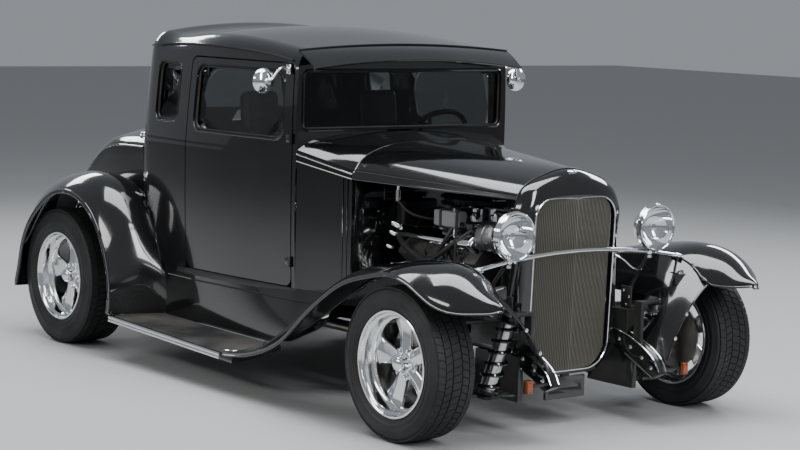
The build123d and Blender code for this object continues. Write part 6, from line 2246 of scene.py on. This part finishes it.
    def _radiator(self) -> None:
        """Core with its tanks, fins, shroud and fan."""
        bench, spot = self.bench, self.spot
        pieces = [bench.block("core", (40, 400, 430), spot(8, 0, 612), 2),
                  bench.block("top_tank", (58, 440, 44), spot(8, 0, 848), 10, segments=3),
                  bench.block("foot_tank", (58, 440, 40), spot(8, 0, 380), 10, segments=3)]
        for index in range(38):
            pieces.append(bench.block("fin", (46, 396, 2), spot(8, 0, 404 + index * 11), 0.5, segments=1))
        for y in (-212, 212):
            pieces.append(bench.block("side", (56, 16, 470), spot(8, y, 612), 3))
        shroud = [(186, -24), (190, -24), (194, -16), (194, 14), (230, 18), (230, 22), (186, 22),
                  (184, -20)]
        pieces.append(bench.turned("shroud", shroud, spot(-42, 0, 580), "X", 60))
        hub = [(0, -20), (38, -20), (44, -8), (40, 6), (0, 8)]
        pieces.append(bench.turned("fan_hub", hub, spot(-46, 0, 580), "X", 28))
        for index in range(7):
            turn = math.radians(360 / 7 * index)
            place = spot(-46, 108 * math.sin(turn), 580 + 108 * math.cos(turn))
            pieces.append(bench.block("blade", (4, 44, 146), place, 1.5, (-math.degrees(turn), 0, 0)))
        bench.fit("radiator_core", pieces, Finish.SATIN_BLACK, "radiator")


@dataclass
class Chassis(Assembly):
    """Frame, suspension, steering, driveline, exhaust and tank."""

    def build(self) -> None:
        """Dress the frame's own pieces and add the springs, dampers, horn trims, bolts and brakes."""
        bench = self.bench
        for node, body, finish, bevel in (
                ("frame_rail_left", "chassis", Finish.GLOSS_BLACK, 2.5),
                ("frame_rail_right", "chassis", Finish.GLOSS_BLACK, 2.5),
                ("crossmembers", "chassis", Finish.GLOSS_BLACK, 2.0),
                ("suspension", "chassis", Finish.SATIN_BLACK, 0),
                ("steering_rack", "chassis", Finish.CAST_ALLOY, 0),
                ("drivetrain", "chassis", Finish.CAST_IRON, 0),
                ("exhaust", "chassis", Finish.STEEL, 0),
                ("fuel_tank", "chassis", Finish.SATIN_BLACK, 0),
                ("floor_pan", "chassis", Finish.SATIN_BLACK, 2.0),
                ("tie_rods", "tie_rods", Finish.STEEL, 0),
                ("knuckle_left", "knuckle_left", Finish.CAST_IRON, 1.5),
                ("knuckle_right", "knuckle_right", Finish.CAST_IRON, 1.5)):
            bench.dressed(node, body, finish, bevel)
        self._springs()
        self._horns()
        self._discs()

    def _springs(self) -> None:
        """Coils at all four corners, and the front dampers with their seats."""
        bench, coils, caps, dampers = self.bench, [], [], []
        for _, side in SIDES:
            low = Vector(self.spot(121, side * 449, 190))
            high = Vector(self.spot(174, side * 396, 460))
            coils.append(self._coil(low, high, 40, 6.5, 6))
            dampers.append(bench.rod("damper", [tuple(low), tuple(high)], 32, 28))
            rear_low = Vector((self.at.rear_axle - 66, side * 320, 292))
            rear_high = Vector((self.at.rear_axle - 66, side * 320, 404))
            coils.append(self._coil(rear_low, rear_high, 38, 6.5, 4))
            for low_end, axis in ((low, high - low), (high, low - high)):
                seat = bench.turned("seat", [(0, -4), (46, -4), (48, 0), (46, 5), (0, 5)], (0, 0, 0), "Z",
                                    32)
                turn = Vector((0, 0, 1)).rotation_difference(axis).to_matrix().to_4x4()
                seat.data.transform(Matrix.Translation(low_end * MM) @ turn)
                caps.append(seat)
        bench.fit("coil_springs", coils, Finish.GLOSS_BLACK)
        bench.fit("spring_seats", caps, Finish.SATIN_BLACK)
        # the dampers' grey colour is painted shade on chrome bodies
        bench.fit("dampers", dampers, Finish.DAMPER)

    def _coil(self, low: Vector, high: Vector, radius: float, wire: float, turns: int) -> Piece:
        """Wind one spring between two points."""
        axis = (high - low).normalized()
        aside = axis.cross(Vector((0, 1, 0.1))).normalized()
        other = axis.cross(aside)
        points = []
        for t in np.linspace(0, 1, turns * 18):
            angle = 2 * math.pi * turns * t
            around = aside * math.cos(angle) + other * math.sin(angle)
            points.append(low + (high - low) * t + around * radius)
        return self.bench.rod("coil", [tuple(p) for p in points], wire, 8)

    def _horns(self) -> None:
        """Polished rods on the horns' flange edges as painted highlights on the black frame, the horn bolts,
        the tower plates and the clips.
        """
        bench, trims, bolts = self.bench, [], []
        upper = smooth_path(((54, 372), (114, 361), (192, 335), (269, 297), (317, 256), (334, 226)), 30)
        lower = smooth_path(((137, 276), (227, 233), (300, 198)), 16)
        for _, side in SIDES:
            for y in (269, 311):
                for line in (upper, lower):
                    path = [self.spot(x, side * y, z) for x, z in line]
                    trims.append(bench.rod("flange", path, 3.4, 8))
            for x, z in ((100, 330), (168, 306), (236, 272), (290, 238)):
                bolts.append(bench.bolts("horn_bolt", [self.spot(x, side * 312, z)], 7, 6, "Y", side))
                bolts.append(bench.bolts("horn_bolt", [self.spot(x, side * 268, z)], 7, 6, "Y", -side))
        # polished rods on the black flange edges are painted highlights, standing in for sky light on their
        # rounded edges
        bench.fit("horn_flanges", trims, Finish.POLISHED)
        tabs, heads = [], []
        for _, side in SIDES:
            tabs.append(bench.block("tower_plate", (62, 6, 128), self.spot(78, side * 321, 478), 2.5))
            tabs.append(bench.block("clip", (34, 78, 5), self.spot(206, side * 492, 598), 2,
                                    (side * -9, 0, 0)))
            tabs.append(bench.block("clip_leg", (5, 60, 40), self.spot(222, side * 484, 578), 2))
            bolts_at = self.run((62, 318, 524), (94, 318, 500), (79, 318, 465), (78, 318, 430), side=side)
            heads.append(bench.bolts("tower_bolt", bolts_at, 6, 5, "Y", -side))
            heads.append(bench.block("clip_edge", (7, 60, 6), self.spot(222, side * 500, 598), 2,
                                     (side * -9, 0, 0)))
        bench.fit("tower_plates", tabs, Finish.SATIN_BLACK)
        bench.fit("tower_bolts", heads, Finish.CHROME)
        bench.fit("horn_bolts", bolts, Finish.CHROME)

    def _discs(self) -> None:
        """Brake discs and calipers behind the front wheels."""
        bench = self.bench
        for name, side in SIDES:
            spot = self.spot(0, side * 690, self.at.front_r)
            disc = [(30, -11), (140, -11), (141, -9), (141, -2), (140, 0), (66, 0), (62, 12), (30, 12)]
            piece = bench.turned("disc", [(a, side * b) for a, b in disc], spot, "Y", 64)
            piece.name = piece.data.name = f"brake_disc_{name}"
            bench.finish(piece, Finish.STEEL, body=f"wheel_front_{name}")
            place = (spot[0] - 122, side * 684, spot[2] + 8)
            caliper = bench.block("caliper", (62, 46, 118), place, 10, (0, 12, 0), 4)
            caliper.name = caliper.data.name = f"brake_caliper_{name}"
            bench.finish(caliper, Finish.CAST_IRON, body=f"knuckle_{name}")


@dataclass
class Cabin(Assembly):
    """Seats, dash and steering wheel, seen dimly through the dark glass."""

    seat_y: float = 335.0

    def build(self) -> None:
        """Build the cabin's pieces."""
        bench = self.bench
        cushions, frames = [], []
        for _, side in SIDES:
            cushions += self._seat(side)
            place = self.spot(-1390, side * self.seat_y, 467)
            frames.append(bench.block("base", (370, 310, 38), place, 8))
        seats = bench.fit("seat_cushions", cushions, Finish.LEATHER, "seats")
        bench.fit("seat_bases", frames, Finish.TRIM_PLASTIC)
        self._dash()
        self._wheel()

    def _seat(self, side: int) -> list[Piece]:
        """One bucket seat with rolls and a head restraint."""
        bench, middle, pieces = self.bench, side * self.seat_y, []
        for dy in (-100, 0, 100):
            place, behind = self.spot(-1386, middle + dy, 568), self.spot(-1606, middle + dy, 806)
            pieces.append(bench.block("pad", (400, 104, 120), place, 34, segments=6))
            pieces.append(bench.block("back", (84, 104, 520), behind, 34, (0, -10, 0), 6))
        for dy in (-176, 176):
            place, behind = self.spot(-1390, middle + dy, 568), self.spot(-1604, middle + dy, 800)
            pieces.append(bench.block("roll", (420, 60, 146), place, 28, segments=6))
            pieces.append(bench.block("wing", (108, 60, 520), behind, 28, (0, -10, 0), 6))
        place = self.spot(-1655, middle, 1160)
        pieces.append(bench.block("restraint", (78, 186, 184), place, 32, (0, -6, 0), 6))
        for dy in (-52, 52):
            post = self.run((-1640, middle + dy, 1030), (-1652, middle + dy, 1110))
            pieces.append(bench.rod("post", post, 7, 12))
        return pieces

    def _dash(self) -> None:
        """Dash with its gauges."""
        bench, at = self.bench, self.at.ahead
        board = bench.block("dash_panel", (46, 996, 148), (at(-1087), 0, 955), 16, segments=5)
        bench.finish(board, Finish.GLOSS_BLACK, "dashboard")
        rings, faces = [], []
        for y, radius in ((260, 30), (335, 44), (410, 30), (60, 26), (0, 26), (-60, 26)):
            spot = (at(-1110), y, 968)
            ring = [(radius, 0), (radius + 4, 0), (radius + 4, -4), (radius, -6), (radius - 2, -3)]
            rings.append(bench.turned("ring", ring, spot, "X", 36))
            faces.append(bench.turned("face", [(0, 1), (radius, 1), (radius, -2), (0, -2)], spot, "X", 36))
        bench.fit("gauge_rings", rings, Finish.CHROME)
        bench.fit("gauge_faces", faces, Finish.TRIM_PLASTIC)

    def _wheel(self) -> None:
        """Steering wheel on its column."""
        bench, at = self.bench, self.at.ahead
        centre, foot = Vector((at(-1240), 335, 1030)), Vector((at(-826), 335, 740))
        axis = (centre - foot).normalized()
        turn = Vector((0, 0, 1)).rotation_difference(axis).to_matrix().to_4x4()
        parts = [bench.rod("rim", [(a, b, 12) for a, b in oval(60, 178, 178)], 12, 14, closed=True)]
        for angle in (90, 210, 330):
            a = math.radians(angle)
            for offset in (-7, 0, 7):
                dx, dy = -offset * math.sin(a), offset * math.cos(a)
                ends = [(r * math.cos(a) + dx, r * math.sin(a) + dy, h) for r, h in ((30, 14), (174, 12))]
                parts.append(bench.rod("spoke", ends, 2.6, 8))
        boss = [(0, 0), (44, 0), (44, 12), (36, 22), (20, 26), (0, 27)]
        parts.append(bench.turned("boss", boss, (0, 0, 0), "Z", 40))
        for part in parts:
            part.data.transform(Matrix.Translation(centre * MM) @ turn)
        parts.append(bench.rod("column", [tuple(foot), tuple(centre)], 20, 20))
        bench.fit("steering_wheel_rim", parts, Finish.TRIM_PLASTIC, "steering_wheel")


@dataclass
class Studio(Assembly):
    """Floor, light and camera."""

    camera_at: Point3 = (7705.3, -5818.7, 1738.3)
    azimuth: float = 0.909
    pitch: float = -0.110
    roll: float = 0.027
    lens: float = 97.16

    def build(self) -> None:
        """Set the floor, the sky, the lamps and the camera."""
        self._floor()
        self._sky()
        # each lamp's name, size, place, aim, power and tint, in metres and watts
        for name, size, place, aim, power, tint in (
                ("overhead", (6.0, 2.8), (0.6, -0.6, 5.2), (0.2, 0, 0.8), 430, (0.93, 0.97, 1.0)),
                ("front_strip", (1.0, 4.0), (5.6, -0.6, 3.6), (1.0, 0, 0.7), 190, (0.95, 0.98, 1.0)),
                ("near_side", (4.6, 0.9), (0.6, -6.0, 3.4), (0.0, 0, 0.6), 130, (1.0, 0.98, 0.94)),
                ("far_side", (5.0, 1.2), (-0.6, 6.0, 4.2), (0.0, 0, 0.9), 240, (0.92, 0.96, 1.0)),
                ("rear", (3.0, 1.2), (-6.0, 0.0, 3.6), (-1.0, 0, 0.9), 120, (0.95, 0.97, 1.0))):
            self._lamp(name, size, place, aim, power, tint)
        self._camera()

    def _floor(self) -> None:
        """Lay the pale floor."""
        bpy.ops.mesh.primitive_plane_add(size=60)
        floor = bpy.context.object
        floor.name = "studio_floor"
        material = bpy.data.materials.new("floor")
        material.use_nodes = True
        shader = material.node_tree.nodes["Principled BSDF"]
        shader.inputs["Base Color"].default_value = (0.42, 0.42, 0.42, 1)
        shader.inputs["Roughness"].default_value = 0.75
        floor.data.materials.append(material)

    def _sky(self) -> None:
        """Fill the surroundings with soft grey light."""
        world = bpy.data.worlds.new("studio")
        world.use_nodes = True
        back = world.node_tree.nodes["Background"]
        back.inputs["Color"].default_value = (0.50, 0.53, 0.57, 1)
        back.inputs["Strength"].default_value = 0.55
        bpy.context.scene.world = world

    def _lamp(self, name: str, size: Point2, place: Point3, aim: Point3, power: float, tint: Point3) -> None:
        """Hang one soft lamp."""
        light = bpy.data.lights.new(name, "AREA")
        light.shape = "RECTANGLE"
        light.size, light.size_y = size
        light.energy = power
        light.color = tint
        lamp = bpy.data.objects.new(name, light)
        lamp.location = place
        lamp.rotation_euler = (Vector(aim) - Vector(place)).to_track_quat("-Z", "Y").to_euler()
        bpy.context.scene.collection.objects.link(lamp)

    def _camera(self) -> None:
        """Stand the camera where the photograph was taken from."""
        a, p = self.azimuth, self.pitch
        ahead = Vector((-math.sin(a) * math.cos(p), math.cos(a) * math.cos(p), math.sin(p)))
        right = ahead.cross(Vector((0, 0, 1))).normalized()
        up = right.cross(ahead)
        turned_right = math.cos(self.roll) * right + math.sin(self.roll) * up
        turned_up = -math.sin(self.roll) * right + math.cos(self.roll) * up
        frame = Matrix((turned_right, turned_up, -ahead)).transposed().to_4x4()
        data = bpy.data.cameras.new("photo_view")
        data.lens = self.lens
        data.sensor_width = 36.0
        data.sensor_fit = "HORIZONTAL"
        data.dof.use_dof = False
        camera = bpy.data.objects.new("photo_view", data)
        camera.matrix_world = Matrix.Translation(Vector(self.camera_at) * MM) @ frame
        bpy.context.scene.collection.objects.link(camera)
        bpy.context.scene.camera = camera


def main() -> None:
    """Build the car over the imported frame."""
    logging.basicConfig(level=logging.INFO, format="%(message)s")
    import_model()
    bench, at = Bench(PaintShop()), Stations.read()
    for assembly in (Cab, Nose, Fenders, Sides, Tail, Wheels, Lamps, Mirrors, EngineBay, Chassis, Cabin,
                     Studio):
        assembly(bench, at).build()
        LOG.info("%s done", assembly.__name__)
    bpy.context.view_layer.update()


if __name__ == "__main__":
    main()
